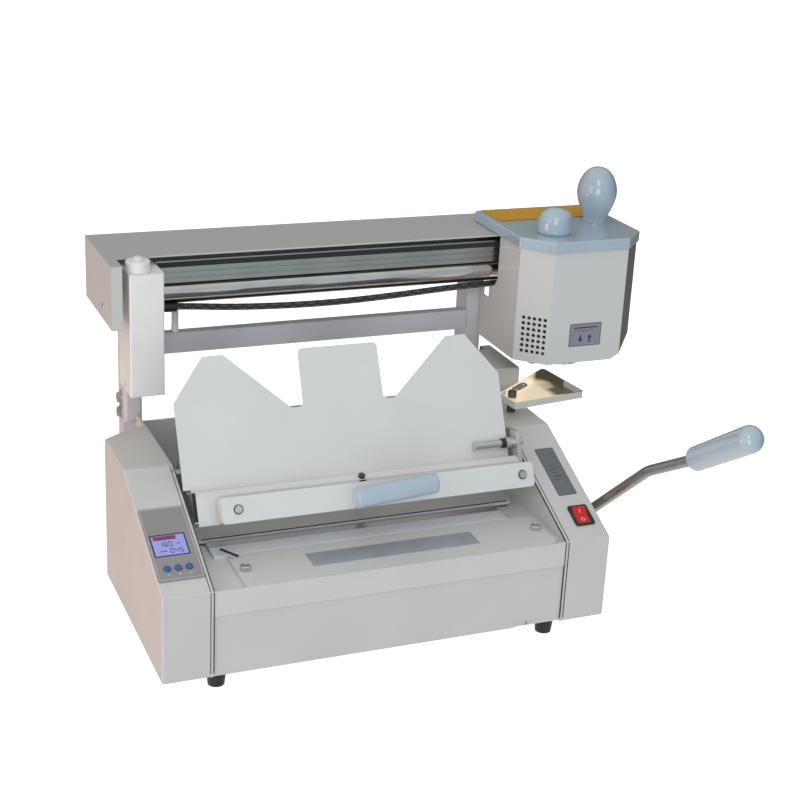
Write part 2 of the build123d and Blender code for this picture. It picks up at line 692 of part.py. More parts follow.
# Back plate of the clamp with its two notches and the tab between them
plate_left = -well_half + 1.3
plate_right = well_half - 18.2
plate_middle = (plate_left + plate_right) / 2
plate_neck = -well_half + 9.8
plate_sheet = 1.5
plate_foot = -14.0
shoulder_v = 99.3
plate_top_v = 150.0
with BuildPart() as clamp_back_plate:
    with BuildSketch(clamp_plane.offset(-plate_sheet)):
        with BuildLine():
            Polyline(
                (plate_neck, plate_foot),
                (plate_right, plate_foot),
                (plate_right, shoulder_v),
                (plate_middle + 164.1, plate_top_v),
                (plate_middle + 139.5, plate_top_v),
                (plate_middle + 65, 82.1),
                (plate_middle + 50, 82.1),
                (plate_middle + 49.3, plate_top_v),
                (plate_middle - 49.3, plate_top_v),
                (plate_middle - 50, 82.1),
                (plate_middle - 65, 82.1),
                (plate_middle - 139.5, plate_top_v),
                (plate_middle - 164.1, plate_top_v),
                (plate_left, shoulder_v),
                (plate_left, 0.3),
                (plate_neck, 0.3),
                close=True,
            )
        make_face()
        inner_corners = vertices().filter_by(lambda v: abs(abs(v.X - plate_middle) - 57.5) < 8.5)
        fillet(inner_corners, 6.0)
    extrude(amount=plate_sheet)

# Rear jaw: two long blocks drilled for the guide rods, and two short ones that close around the screw
jaw_left = plate_neck
jaw_right = well_half - 14.8
jaw_face = 20.0
jaw_outline = [(-42, 0), (-42, jaw_face), (-10, jaw_face), (-3.5, 13.5), (-3.5, 0)]
rod_xs = [-well_half + 49.8, well_half - 24.8]
rod_v = -27.5
clamp_rod_radius = 5.0
rod_neck_radius = 3.4
screw_x = 12.0
screw_radius = 6.0
nut_x = (screw_x - screw_radius - slide_gap, screw_x + screw_radius + slide_gap)
nut_v = (rod_v - screw_radius - slide_gap, rod_v + screw_radius + slide_gap)
nut_below = [(-42, 0), (-42, jaw_face), (nut_v[0], jaw_face), (nut_v[0], 0)]
nut_above = [(nut_v[1], 0), (nut_v[1], jaw_face), (-10, jaw_face), (-3.5, 13.5), (-3.5, 0)]
jaw_blocks = [
    (jaw_outline, (jaw_left, nut_x[0])),
    (jaw_outline, (nut_x[1], jaw_right)),
    (nut_below, (nut_x[0] + fit_gap, nut_x[1] - fit_gap)),
    (nut_above, (nut_x[0] + fit_gap, nut_x[1] - fit_gap)),
]
jaw_solids = []
for outline, span in jaw_blocks:
    with BuildPart() as jaw_block:
        with BuildSketch(clamp_side(span[0])):
            with BuildLine():
                Polyline(*outline, close=True)
            make_face()
        extrude(amount=span[1] - span[0])
        with BuildSketch(clamp_plane.offset(-1)):
            with Locations([(x, rod_v) for x in rod_xs]):
                Circle(clamp_rod_radius + fit_gap)
        extrude(amount=jaw_face + 2, mode=Mode.SUBTRACT)
    jaw_solids.append(jaw_block.part)
with BuildPart() as rear_jaw:
    for jaw_solid in jaw_solids:
        add(jaw_solid)

# Two arms that carry the jaw on the flip pivots, each with its welded pivot stud, and the right one with a boss
hub_radius = 13.0
lug_point = (14.0, 6.0)
lug_radius = 15.0
stop_rod_v = 13.0
stop_rod_w = 8.0
stop_rod_radius = 4.4
stop_boss = 10.0
left_arm_outline = [(-4, 18), (-38, 18), (-38, -2), (13.5, -39.5), (31.7, -21), (-4, -3.4)]
stud_gap = 0.4
with BuildPart() as clamp_arms:
    arm_start = jaw_left - 4.0
    with BuildSketch(clamp_side(arm_start)):
        with BuildLine():
            Polyline(*left_arm_outline, close=True)
        make_face()
        with Locations((pivot_v, pivot_w)):
            Circle(hub_radius)
    extrude(amount=4.0)
    with BuildSketch(clamp_side(jaw_right)):
        with Locations((-21, 8)):
            Rectangle(34, 20)
        with Locations((pivot_v, pivot_w)):
            Circle(hub_radius)
        with Locations(lug_point):
            Circle(lug_radius)
        make_hull()
        with Locations((stop_rod_v, stop_rod_w)):
            Circle(stop_rod_radius + fit_gap, mode=Mode.SUBTRACT)
    extrude(amount=5.0)
    with BuildSketch(clamp_side(jaw_right - stop_boss)):
        with Locations((stop_rod_v, stop_rod_w)):
            Circle(7.0)
            Circle(stop_rod_radius + fit_gap, mode=Mode.SUBTRACT)
    extrude(amount=stop_boss)
    rod_x((-cover_inner + stud_gap, arm_start), pivot_y, pivot_z, pivot_radius)
    rod_x((jaw_right + 5.0, cover_inner - stud_gap), pivot_y, pivot_z, pivot_radius)

# Side stop rod in the right arm
with BuildPart() as side_stop:
    with BuildSketch(clamp_side(well_half - 65.8)):
        with Locations((stop_rod_v, stop_rod_w)):
            Circle(stop_rod_radius)
    extrude(amount=64.0)
    with BuildSketch(clamp_side(well_half - 65.8)):
        with Locations((stop_rod_v, stop_rod_w)):
            Circle(5.2)
    extrude(amount=3.0)

# Black parts on the jaw: stop bush, stop block and end bumper
with BuildPart() as jaw_stops:
    with BuildSketch(clamp_side(jaw_right - stop_boss - 5)):
        with Locations((stop_rod_v, stop_rod_w)):
            Circle(5.9)
            Circle(stop_rod_radius + fit_gap, mode=Mode.SUBTRACT)
    extrude(amount=5.0)
    with BuildSketch(clamp_plane.offset(jaw_face)):
        with Locations((-4, -15.2)):
            Rectangle(8, 8.4)
    extrude(amount=1.6)
    with BuildSketch(clamp_side(jaw_right + 5.0)):
        with Locations((-10, 8)):
            Rectangle(8, 8)
    extrude(amount=3.0)

# Front jaw bar
bar_left = -well_half + 30.3
bar_right = well_half - 9.8
bar_gap = 10.0
bar_thickness = 16.0
bar_v = (-42.6, -12.9)
bar_face = jaw_face + bar_gap
with BuildPart() as front_jaw:
    with BuildSketch(clamp_plane.offset(bar_face)):
        with Locations(((bar_left + bar_right) / 2, sum(bar_v) / 2)):
            RectangleRounded(bar_right - bar_left, bar_v[1] - bar_v[0], 5.0)
        with Locations([(x, rod_v) for x in rod_xs]):
            Circle(rod_neck_radius + fit_gap, mode=Mode.SUBTRACT)
        with Locations((screw_x, rod_v)):
            Circle(screw_radius + fit_gap, mode=Mode.SUBTRACT)
    extrude(amount=bar_thickness)

# Guide rods, necked where they pass the front bar, with small hexagon heads
rod_tail = -30.0
bar_front = bar_face + bar_thickness
with BuildPart() as guide_rods:
    with BuildSketch(clamp_plane.offset(rod_tail)):
        with Locations([(x, rod_v) for x in rod_xs]):
            Circle(clamp_rod_radius)
    extrude(amount=bar_face - rod_tail)
    with BuildSketch(clamp_plane.offset(bar_face)):
        with Locations([(x, rod_v) for x in rod_xs]):
            Circle(rod_neck_radius)
    extrude(amount=bar_thickness)
    with BuildSketch(clamp_plane.offset(bar_front)):
        with Locations([(x, rod_v) for x in rod_xs]):
            RegularPolygon(4.6, 6)
    extrude(amount=2.6)

# Clamp screw with its collar, and the cross grip
screw_tail = -38.0
grip_w = 82.0
cross_grip_radius = 12.25
cross_grip_length = 100.0
cross_grip_turn = math.radians(4.2)
with BuildPart() as clamp_screw:
    with BuildSketch(clamp_plane.offset(screw_tail)):
        with Locations((screw_x, rod_v)):
            Circle(screw_radius)
    extrude(amount=grip_w - screw_tail)
    with BuildSketch(clamp_plane.offset(bar_front + slide_gap)):
        with Locations((screw_x, rod_v)):
            Circle(10.0)
    extrude(amount=5.0)
grip_origin = clamp_plane.from_local_coords((screw_x, rod_v, grip_w))
cross_axis = Vector(math.cos(cross_grip_turn), *(math.sin(cross_grip_turn) * up for up in clamp_up[1:]))
with BuildPart() as cross_grip:
    with BuildSketch(Plane(origin=grip_origin, z_dir=cross_axis)):
        Circle(cross_grip_radius)
    extrude(amount=cross_grip_length / 2, both=True)
    fillet(cross_grip.edges().filter_by(GeomType.CIRCLE), 3.0)
    with BuildSketch(Plane(origin=grip_origin, z_dir=clamp_normal)):
        Circle(screw_radius + fit_gap)
    extrude(amount=-cross_grip_radius - 1, mode=Mode.SUBTRACT)

# Head shell: sheet walls with the passage for the beam, the vents and the lifted lower edge
head_right = head_left + head_width
shell_outline = [
    (head_left, head_back),
    (head_left, head_front + 31.5),
    (head_left + 32.8, head_front),
    (head_right - 28, head_front),
    (head_right, head_front + 29.5),
    (head_right, head_back),
]
passage_front = 291.0
passage_bottom = beam_bottom + 5.0
vent_radius = 2.3
vent_pitch = (7.05, 7.28)
vent_start = (10.6, 14.0)
vent_columns = 5
vent_rows = 7
vent_plane = Plane(
    origin=(head_left, head_front + 31.5, head_bottom),
    x_dir=(32.8, -31.5, 0),
    z_dir=(-31.5, -32.8, 0),
)
with BuildPart() as head_shell:
    with BuildSketch(Plane.XY.offset(head_bottom)):
        with BuildLine():
            Polyline(*shell_outline, close=True)
        make_face()
    extrude(amount=head_top - head_bottom)
    with BuildSketch(Plane.XY.offset(head_bottom)):
        with BuildLine():
            Polyline(*shell_outline, close=True)
        make_face()
        offset(amount=-head_wall, kind=Kind.INTERSECTION)
        back_gap_x = (head_left + head_right) / 2
        with Locations((back_gap_x, head_back)):
            Rectangle(head_width - 2 * head_wall, 10)
    extrude(amount=head_top - head_bottom, mode=Mode.SUBTRACT)
    with BuildSketch(Plane.YZ.offset(head_left - 1)):
        with BuildLine():
            Polyline(
                (passage_front, head_top + 1),
                (passage_front, passage_bottom + 15),
                (passage_front + 9.7, passage_bottom + 1.6),
                (passage_front + 14, passage_bottom),
                (head_back + 1, passage_bottom),
                (head_back + 1, head_top + 1),
                close=True,
            )
        make_face()
    extrude(amount=head_width + 2, mode=Mode.SUBTRACT)
    cable_slot_z = (passage_bottom - 17, passage_bottom + 1)
    block((head_left - 1, head_left + 3), (cable_y - 8, cable_y + 8), cable_slot_z, Mode.SUBTRACT)
    with BuildSketch(Plane.XZ.offset(-head_front + 3)):
        with BuildLine():
            Polyline(
                (head_right - 40, head_bottom - 1),
                (head_right - 40, head_bottom),
                (head_right - 28, head_bottom + 7),
                (head_right + 1, head_bottom + 23.5),
                (head_right + 1, head_bottom - 1),
                close=True,
            )
        make_face()
    extrude(amount=-head_back + head_front - 6, mode=Mode.SUBTRACT)
    with BuildSketch(vent_plane.offset(-head_wall - 1)):
        for column in range(vent_columns):
            for row in range(vent_rows):
                vent_x = vent_start[0] + column * vent_pitch[0]
                with Locations((vent_x, vent_start[1] + row * vent_pitch[1])):
                    Circle(vent_radius)
    extrude(amount=head_wall + 2, mode=Mode.SUBTRACT)

# Head cap with a pocket under it
cap_overhang = 2.0
cap_height = 13.0
cap_back = 368.0
knob_point = (head_left + 51.2, 244.5)
cap_outline = [
    (head_left - cap_overhang, cap_back),
    (head_left - cap_overhang, head_front + 31.5),
    (head_left + 30, head_front - 3.5),
    (head_right - 29, head_front - 3.5),
    (head_right + cap_overhang, head_front + 27.5),
    (head_right + cap_overhang, cap_back),
]
with BuildPart() as head_cap:
    with BuildSketch(Plane.XY.offset(head_top)):
        with BuildLine():
            Polyline(*cap_outline, close=True)
        make_face()
        fillet(vertices(), 3.0)
    extrude(amount=cap_height)
    fillet(head_cap.faces().sort_by(Axis.Z)[-1].edges(), 2.0)
    with BuildSketch(Plane.XY.offset(head_top)):
        with BuildLine():
            Polyline(*cap_outline, close=True)
        make_face()
        offset(amount=-7.0, kind=Kind.INTERSECTION)
    extrude(amount=cap_height - 3.5, mode=Mode.SUBTRACT)
    rod_z((head_top, head_top + cap_height + 1), *knob_point, 4.0 + fit_gap, Mode.SUBTRACT)

# Bare plate on the cap
cap_top = head_top + cap_height
with BuildPart() as cap_plate:
    block((head_left + 6, head_right - 11), (309, 365), (cap_top, cap_top + 0.8))

# Egg-shaped push knob
egg_point = (head_left + 133.0, 290.6)
with BuildPart() as egg_knob:
    with BuildSketch(Plane(origin=(*egg_point, cap_top), x_dir=(1, 0, 0), z_dir=(0, -1, 0))):
        with BuildLine():
            Line((0, 0), (15.0, 0))
            Line((15.0, 0), (15.4, 4))
            Spline(
                (15.4, 4),
                (21.4, 19),
                (25.5, 38),
                (19.5, 58),
                (0, 69.6),
                tangents=[(0.35, 1), (-1, 0)],
            )
            Line((0, 69.6), (0, 0))
        make_face()
    revolve(axis=Axis(egg_point + (0,), (0, 0, 1)))

# Dome knob whose spindle reaches down into the cutter motor
motor_radius = 26.0
motor_point = (head_left + 69.0, 238.0)
motor_top = head_top - 16.4
with BuildPart() as dome_knob:
    dome_base = cap_top + slide_gap
    with BuildSketch(Plane(origin=(*knob_point, dome_base), x_dir=(1, 0, 0), z_dir=(0, -1, 0))):
        with BuildLine():
            Line((0, 0), (21.0, 0))
            Line((21.0, 0), (22.0, 3))
            Line((22.0, 3), (22.0, 14))
            Spline((22.0, 14), (16.0, 27), (0, 32), tangents=[(0, 1), (-1, 0)])
            Line((0, 32), (0, 0))
        make_face()
    revolve(axis=Axis(knob_point + (0,), (0, 0, 1)))
    rod_z((motor_top - 6, dome_base + 1), *knob_point, 4.0)

# Welded carriage: upright plate, motor shelf, open bearing block and two hooks over the rail
upright_y = (284.0, 290.0)
bearing_x = (head_left + 37, head_left + 127)
bearing_bottom = guide_z - 18.7
bearing_top = guide_z + 11.3
shelf_z = (head_bottom + 72, head_bottom + 76)
hook_xs = (head_left + 42, head_left + 102)
bush_outer = 14.0
hook_top = beam_top - beam_sheet - 0.6
with BuildPart() as carriage:
    with BuildSketch(Plane.XY.offset(shelf_z[0])):
        with BuildLine():
            Polyline(*shell_outline, close=True)
        make_face()
        offset(amount=-head_wall, kind=Kind.INTERSECTION)
        with Locations((back_gap_x, upright_y[0] + 50)):
            Rectangle(head_width + 20, 100, mode=Mode.SUBTRACT)
        with Locations(motor_point):
            Circle(motor_radius + slide_gap, mode=Mode.SUBTRACT)
    extrude(amount=shelf_z[1] - shelf_z[0])
    upright_x = (head_left + head_wall, head_right - head_wall)
    block(upright_x, upright_y, (shelf_z[0], head_top))
    block(bearing_x, (upright_y[1], web_front - 1), (bearing_bottom, bearing_top))
    rod_x((bearing_x[0] - 1, bearing_x[1] + 1), guide_y, guide_z, bush_outer + fit_gap, Mode.SUBTRACT)
    for hook_x in hook_xs:
        hook_span = (hook_x, hook_x + 20)
        hook_back = rail_front + rail_flange + 5
        block(hook_span, (upright_y[1], hook_back), (rail_z[1] + 0.5, hook_top))
        block(hook_span, (hook_back - 4.5, hook_back), (rail_z[0] + 20, hook_top))
    plug_x = (head_left + 25, head_left + 47)
    block(plug_x, (cable_y - 7, cable_y + 7), (cable_z - 7, bearing_bottom))

# Two open bearing bushes in the carriage
bush_length = 24.0
with BuildPart() as bearing_bushes:
    for bush_x in (bearing_x[0], bearing_x[1] - bush_length):
        rod_x((bush_x, bush_x + bush_length), guide_y, guide_z, bush_outer)
    bush_span = (bearing_x[0] - 1, bearing_x[1] + 1)
    rod_x(bush_span, guide_y, guide_z, guide_radius + fit_gap, Mode.SUBTRACT)
    block(bush_span, (guide_y - 20, guide_y + 20), (bearing_top, bearing_top + 10), Mode.SUBTRACT)

# Cutter motor that lifts in the shelf: a can, and two lugs on it that the knob's spindle runs between
motor_bottom = head_bottom + 52
spindle_radius = 5.0
lug_slot_half = 6.5
lug_height = 14.0
with BuildPart() as motor_can:
    rod_z((motor_bottom, motor_top - lug_height), *motor_point, motor_radius)
    fillet(motor_can.edges().sort_by(Axis.Z)[0], 2.0)
    rod_z((motor_bottom - 1, motor_bottom + 13), *motor_point, spindle_radius + fit_gap, Mode.SUBTRACT)
with BuildPart() as motor_lugs:
    lug_z = (motor_top - lug_height + fit_gap, motor_top)
    rod_z(lug_z, *motor_point, motor_radius)
    slot_x = (motor_point[0] - motor_radius - 1, motor_point[0] + motor_radius + 1)
    slot_y = (knob_point[1] - lug_slot_half, knob_point[1] + lug_slot_half)
    block(slot_x, slot_y, (lug_z[0] - 1, lug_z[1] + 1), Mode.SUBTRACT)
with BuildPart() as cutter_motor:
    add(motor_can.part)
    add(motor_lugs.part)

# Toothed milling disc on its spindle
disc_radius = 25.0
disc_bottom = head_bottom - 6.5
disc_thickness = 6.0
tooth_count = 16
with BuildPart() as cutter_disc:
    rod_z((disc_bottom, disc_bottom + disc_thickness), *motor_point, disc_radius)
    rod_z((disc_bottom + disc_thickness, disc_bottom + 16), *motor_point, 11.0)
    rod_z((disc_bottom + 15, motor_bottom + 12), *motor_point, spindle_radius)
    with Locations((*motor_point, disc_bottom + disc_thickness / 2)):
        with PolarLocations(disc_radius, tooth_count):
            Box(4, 2.4, disc_thickness + 1, mode=Mode.SUBTRACT)

# Glue tank with two ears, and the glue roller between them
roller_x = head_left + 27.0
roller_z = head_bottom + 6.5
roller_radius = 13.0
roller_y = (226.5, 263.5)
axle_radius = 3.0
tank_x = (roller_x - 14, roller_x + 14)
tank_y = (224.0, 266.0)
tank_z = (roller_z + roller_radius + 1, shelf_z[0])
with BuildPart() as glue_tank:
    block(tank_x, tank_y, tank_z)
    tank_inside_y = (tank_y[0] + 2, tank_y[1] - 2)
    block((tank_x[0] + 2, tank_x[1] - 2), tank_inside_y, (tank_z[0] + 2, tank_z[1] - 2), Mode.SUBTRACT)
    for ear_y in ((tank_y[0], roller_y[0] - 0.5), (roller_y[1] + 0.5, tank_y[1])):
        block((roller_x - 7, roller_x + 7), ear_y, (roller_z - 6, tank_z[0]))
    rod_y((tank_y[0] - 1, tank_y[1] + 1), roller_x, roller_z, axle_radius + fit_gap, Mode.SUBTRACT)
with BuildPart() as glue_roller:
    rod_y(roller_y, roller_x, roller_z, roller_radius)
    rod_y(tank_y, roller_x, roller_z, axle_radius)

# Knurled thumb-screws on the deck
thumb_points = [(-well_half + 47.3, 41.0), (well_half - 19.8, 43.0)]
with BuildPart() as thumb_screws:
    with Locations([(x, y, plate_base + 3) for x, y in thumb_points]):
        Cylinder(6.0, 6.0)
    fillet(thumb_screws.edges().group_by(Axis.Z)[-1], 1.0)

# Bolts through the posts and round-headed screws in the frame
bolt_head = 5.5
bolt_zs = (178.0, 197.0)
with BuildPart() as frame_bolts:
    for bolt_z in bolt_zs:
        for face_x, outward in ((post_left_x[0], -1), (post_right_x[1], 1)):
            with BuildSketch(Plane(origin=(face_x, 360, bolt_z), z_dir=(outward, 0, 0))):
                RegularPolygon(7.0, 6)
            extrude(amount=bolt_head)
with BuildPart() as frame_screws:
    rod_x((beam_left - 2.5, beam_left), 303.0, beam_bottom + 17, 4.5)
    rod_z((end_box_z[0] - 2.5, end_box_z[0]), end_box_x[0] + 20, 290.0, 4.0)
    rod_y((pan_front - 2, pan_front), 168.0, 3.2, 2.6)
    for screw_point_x in (-200.0, -60.0, 80.0, 200.0):
        for screw_point_z in (14.0, 150.0):
            rod_y((back_face, back_face + 2.4), screw_point_x, screw_point_z, 4.0)

pieces = {
    "left_cover": left_cover,
    "right_cover": right_cover,
    "side_plates": side_plates,
    "chassis": chassis,
    "front_panel": front_panel,
    "deck_sheet": deck_sheet,
    "deck_plate": deck_plate,
    "name_plate": name_plate,
    "feet": feet,
    "control_panel": control_panel,
    "display": display,
    "button_1": buttons[0],
    "button_2": buttons[1],
    "button_3": buttons[2],
    "switch_housing": switch_housing,
    "switch_rocker": switch_rocker,
    "transformer": transformer,
    "power_inlet": power_inlet,
    "post_frame": post_frame,
    "beam_cover": beam_cover,
    "beam_bar": beam_bar,
    "upper_rail": upper_rail,
    "guide_shaft": guide_shaft,
    "end_box": end_box,
    "cap_knob": cap_knob,
    "cable_gland": cable_gland,
    "head_cable": head_cable,
    "conduit": conduit,
    "side_box": side_box,
    "tray": tray,
    "tray_pin": tray_pin,
    "front_nip_jaw": front_nip_jaw,
    "front_nip_edge": front_nip_edge,
    "rear_nip_plate": rear_nip_plate,
    "lever_shaft": lever_shaft,
    "lever_arm": lever_arm,
    "lever_grip": lever_grip,
    "clamp_back_plate": clamp_back_plate,
    "rear_jaw": rear_jaw,
    "clamp_arms": clamp_arms,
    "side_stop": side_stop,
    "jaw_stops": jaw_stops,
    "front_jaw": front_jaw,
    "guide_rods": guide_rods,
    "clamp_screw": clamp_screw,
    "cross_grip": cross_grip,
    "head_shell": head_shell,
    "head_cap": head_cap,
    "cap_plate": cap_plate,
    "egg_knob": egg_knob,
    "dome_knob": dome_knob,
    "carriage": carriage,
    "bearing_bushes": bearing_bushes,
    "cutter_motor": cutter_motor,
    "cutter_disc": cutter_disc,
    "glue_tank": glue_tank,
    "glue_roller": glue_roller,
    "thumb_screws": thumb_screws,
    "frame_bolts": frame_bolts,
    "frame_screws": frame_screws,
}

# The whole machine moves so that its box stands on z = 0 around the origin
boxes = [piece.part.bounding_box() for piece in pieces.values()]
shift = Vector(
    -(min(box.min.X for box in boxes) + max(box.max.X for box in boxes)) / 2,
    -(min(box.min.Y for box in boxes) + max(box.max.Y for box in boxes)) / 2,
    -min(box.min.Z for box in boxes),
)
for name, piece in pieces.items():
    placed = piece.part.moved(Location(shift))
    placed.label = name
    export_step(placed, f"parts/{name}.step")
cable_section = math.pi * cable_radius**2
print("shift", round(shift.X, 4), round(shift.Y, 4), round(shift.Z, 4))
print("cable bends", cable_bends, "length", round(cable_line.wire().length, 2))
print("cable volume", round(head_cable.part.volume, 1), round(cable_section * cable_line.wire().length, 1))
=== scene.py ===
# %% [markdown]
# # A tabletop book binder in Blender
# The machine stands on a table, clamps a stack of sheets, cuts and glues their spine, and presses it into
# a cover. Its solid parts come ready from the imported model, in metres, each in its own place.
# This lesson gives every part a finish made only of shader nodes, and adds the small parts that catch
# the eye.

import bpy
import bmesh
import json
import math
from mathutils import Matrix, Vector


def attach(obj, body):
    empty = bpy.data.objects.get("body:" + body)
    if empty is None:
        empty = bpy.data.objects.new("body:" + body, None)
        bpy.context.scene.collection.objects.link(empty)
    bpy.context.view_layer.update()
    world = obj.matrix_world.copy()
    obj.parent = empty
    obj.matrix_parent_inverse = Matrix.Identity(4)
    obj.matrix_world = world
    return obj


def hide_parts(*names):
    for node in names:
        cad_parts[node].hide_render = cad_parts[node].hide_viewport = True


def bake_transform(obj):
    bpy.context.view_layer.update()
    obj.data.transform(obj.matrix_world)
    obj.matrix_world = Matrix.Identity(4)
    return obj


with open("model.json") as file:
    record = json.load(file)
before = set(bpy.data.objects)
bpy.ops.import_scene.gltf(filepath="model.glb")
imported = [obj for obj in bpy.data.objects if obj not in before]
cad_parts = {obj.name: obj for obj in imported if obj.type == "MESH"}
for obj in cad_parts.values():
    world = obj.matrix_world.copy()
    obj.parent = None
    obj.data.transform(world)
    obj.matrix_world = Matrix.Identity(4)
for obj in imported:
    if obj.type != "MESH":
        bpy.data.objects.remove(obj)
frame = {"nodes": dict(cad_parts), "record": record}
for plain in bpy.data.materials:
    plain.name = f"plain_{plain.name}"
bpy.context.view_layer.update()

# %% [markdown]
# The workshop drawing counts millimetres from the middle of the base's front edge, at the foot of the cheeks.
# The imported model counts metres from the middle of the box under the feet.
# One helper turns a drawing point into a model point, so that every later number can be read off the drawing.

# %% Drawing points to model points
DRAWING_SHIFT = Vector((-69.0, -97.767, 18.0))
RIGHT, UP, FRONT = (1, 0, 0), (0, 0, 1), (0, -1, 0)


def at(x, y, z):
    """A drawing point in millimetres as a model point in metres."""
    return (Vector((x, y, z)) + DRAWING_SHIFT) / 1000


print("front edge of the base at", tuple(round(c, 4) for c in at(0, 0, 0)))

# %% [markdown]
# ## The camera
# The photograph was taken from the front left, a little above the machine, from about two metres away.
# A long lens keeps the upright edges nearly parallel, and a small roll tips the horizon as in the photograph.

# %% Place the camera
CAMERA_TURN = 0.40302
CAMERA_TILT = 0.36352
CAMERA_ROLL = 0.04999
CAMERA_PLACE = at(-640.9, -1484.4, 918.1)
camera_data = bpy.data.cameras.new("camera")
camera_data.sensor_width = 36
camera_data.lens = 72.45
camera = bpy.data.objects.new("camera", camera_data)
forward = Vector(
    (
        math.sin(CAMERA_TURN) * math.cos(CAMERA_TILT),
        math.cos(CAMERA_TURN) * math.cos(CAMERA_TILT),
        -math.sin(CAMERA_TILT),
    )
)
level_right = Vector((math.cos(CAMERA_TURN), -math.sin(CAMERA_TURN), 0))
level_up = level_right.cross(forward)
right = level_right * math.cos(CAMERA_ROLL) + level_up * math.sin(CAMERA_ROLL)
up = level_up * math.cos(CAMERA_ROLL) - level_right * math.sin(CAMERA_ROLL)
camera_axes = Matrix((right, up, -forward)).transposed().to_4x4()
camera.matrix_world = Matrix.Translation(CAMERA_PLACE) @ camera_axes
bpy.context.collection.objects.link(camera)
bpy.context.scene.camera = camera
print("camera lens", camera_data.lens, "mm")

# %% [markdown]
# ## The studio
# Catalogue photographs stand on white paper that is lit from below or behind, so the paper is pure white
# while the machine keeps its greys. A floor with a light of its own does the same.
# The standard view keeps the greys of the paint as plain as they are set.

# %% White floor
FLOOR_REACH = 150
bpy.context.scene.view_settings.view_transform = "Standard"
floor_mesh = bpy.data.meshes.new("floor")
floor_shape = bmesh.new()
bmesh.ops.create_grid(floor_shape, x_segments=1, y_segments=1, size=FLOOR_REACH)
floor_shape.to_mesh(floor_mesh)
floor_shape.free()
floor = bpy.data.objects.new("floor", floor_mesh)
bpy.context.collection.objects.link(floor)
floor_paper = bpy.data.materials.new("floor_paper")
floor_paper.use_nodes = True
floor_shader = floor_paper.node_tree.nodes["Principled BSDF"]
floor_shader.inputs["Base Color"].default_value = (0.5, 0.5, 0.5, 1)
floor_shader.inputs["Roughness"].default_value = 0.9
floor_shader.inputs["Specular IOR Level"].default_value = 0.1
floor_shader.inputs["Emission Color"].default_value = (1, 1, 1, 1)
floor_shader.inputs["Emission Strength"].default_value = 0.95
floor_mesh.materials.append(floor_paper)
floor.visible_diffuse = False
floor.visible_glossy = False
print("floor", 2 * FLOOR_REACH, "m wide")

# %% [markdown]
# The room around the machine isn't equally bright. The wall in front is cool, the one on the left faintly
# warm, those at the back and on the right are dark, and the ground is bright and warm. The world's colour is
# mixed from these by the direction of each ray. The white paper is left out of the soft light and of the
# reflections, and the ground colour takes its place.

# %% The room's light
world = bpy.data.worlds.new("studio")
world.use_nodes = True
room = world.node_tree
direction = room.nodes.new("ShaderNodeSeparateXYZ")
room.links.new(room.nodes.new("ShaderNodeTexCoord").outputs["Generated"], direction.inputs["Vector"])


def by_direction(axis, low, high, first, second):
    """Mixes two colours or mixes while one direction runs from low to high."""
    span = room.nodes.new("ShaderNodeMapRange")
    span.inputs["From Min"].default_value = low
    span.inputs["From Max"].default_value = high
    room.links.new(direction.outputs[axis], span.inputs["Value"])
    mix = room.nodes.new("ShaderNodeMix")
    mix.data_type = "RGBA"
    room.links.new(span.outputs["Result"], mix.inputs[0])
    for socket, colour in ((6, first), (7, second)):
        if isinstance(colour, tuple):
            mix.inputs[socket].default_value = colour + (1,)
        else:
            room.links.new(colour.outputs[2], mix.inputs[socket])
    return mix


front_and_back = by_direction("Y", -0.9, 0.9, (0.57, 0.68, 0.73), (0.14, 0.13, 0.10))
with_left = by_direction("X", -0.95, -0.4, (0.62, 0.58, 0.57), front_and_back)
with_right = by_direction("X", 0.35, 0.9, with_left, (0.04, 0.04, 0.04))
with_ceiling = by_direction("Z", 0.2, 0.85, with_right, (0.76, 0.79, 0.78))
all_round = by_direction("Z", -0.85, -0.2, (0.94, 0.87, 0.82), with_ceiling)
room.links.new(all_round.outputs[2], room.nodes["Background"].inputs["Color"])
bpy.context.scene.world = world
print("room light from", len(room.nodes), "nodes")

# %% [markdown]
# Four soft boxes model the shapes: a large cool one in front, a large one on the left, one high up for the
# edges and knobs, and a small warm one near the floor that reddens the left cheek. They light the machine
# but stay out of the picture.


# %% Soft boxes
def soft_box(name, place, target, size, power, colour=(1, 1, 1)):
    """A square area lamp that looks at a target."""
    lamp_data = bpy.data.lights.new(name, "AREA")
    lamp_data.size = size
    lamp_data.energy = power
    lamp_data.color = colour
    lamp = bpy.data.objects.new(name, lamp_data)
    lamp.location = place
    lamp.rotation_euler = (Vector(target) - Vector(place)).to_track_quat("-Z", "Y").to_euler()
    lamp.visible_camera = False
    bpy.context.collection.objects.link(lamp)


LAMP_TARGET = (0, 0, 0.2)
soft_box("front_box", (-0.9, -2.5, 0.65), LAMP_TARGET, 1.3, 13.5, (0.78, 0.92, 1.0))
soft_box("side_box", (-2.4, -1.0, 0.9), LAMP_TARGET, 1.3, 5.5)
soft_box("high_box", (-0.5, -1.7, 1.9), LAMP_TARGET, 1.0, 6.5, (0.8, 0.9, 1.0))
soft_box("warm_box", (-1.0, -0.02, 0.04), (-0.34, 0.02, 0.1), 0.4, 2.0, (1.0, 0.52, 0.38))
print("four soft boxes")

# %% [markdown]
# ## Finishes
# Every finish is a small tree of nodes around one Principled shader.
# The helpers below hold what the finishes share: a colour given as the eye sees it, a noise that lives in the
# part's own space, and a bump that turns noise into relief of a size given in metres.
# The bump starts from a bevel node, which rounds the light on sharp sheet edges as a real folded edge does.


# %% Helpers for finishes
def tone(red, green, blue):
    """A colour as seen on a screen, 0 to 255, as the linear values a shader wants."""
    seen = (red, green, blue)
    return tuple(((c / 255 + 0.055) / 1.055) ** 2.4 if c > 10 else c / 3294 for c in seen) + (1,)


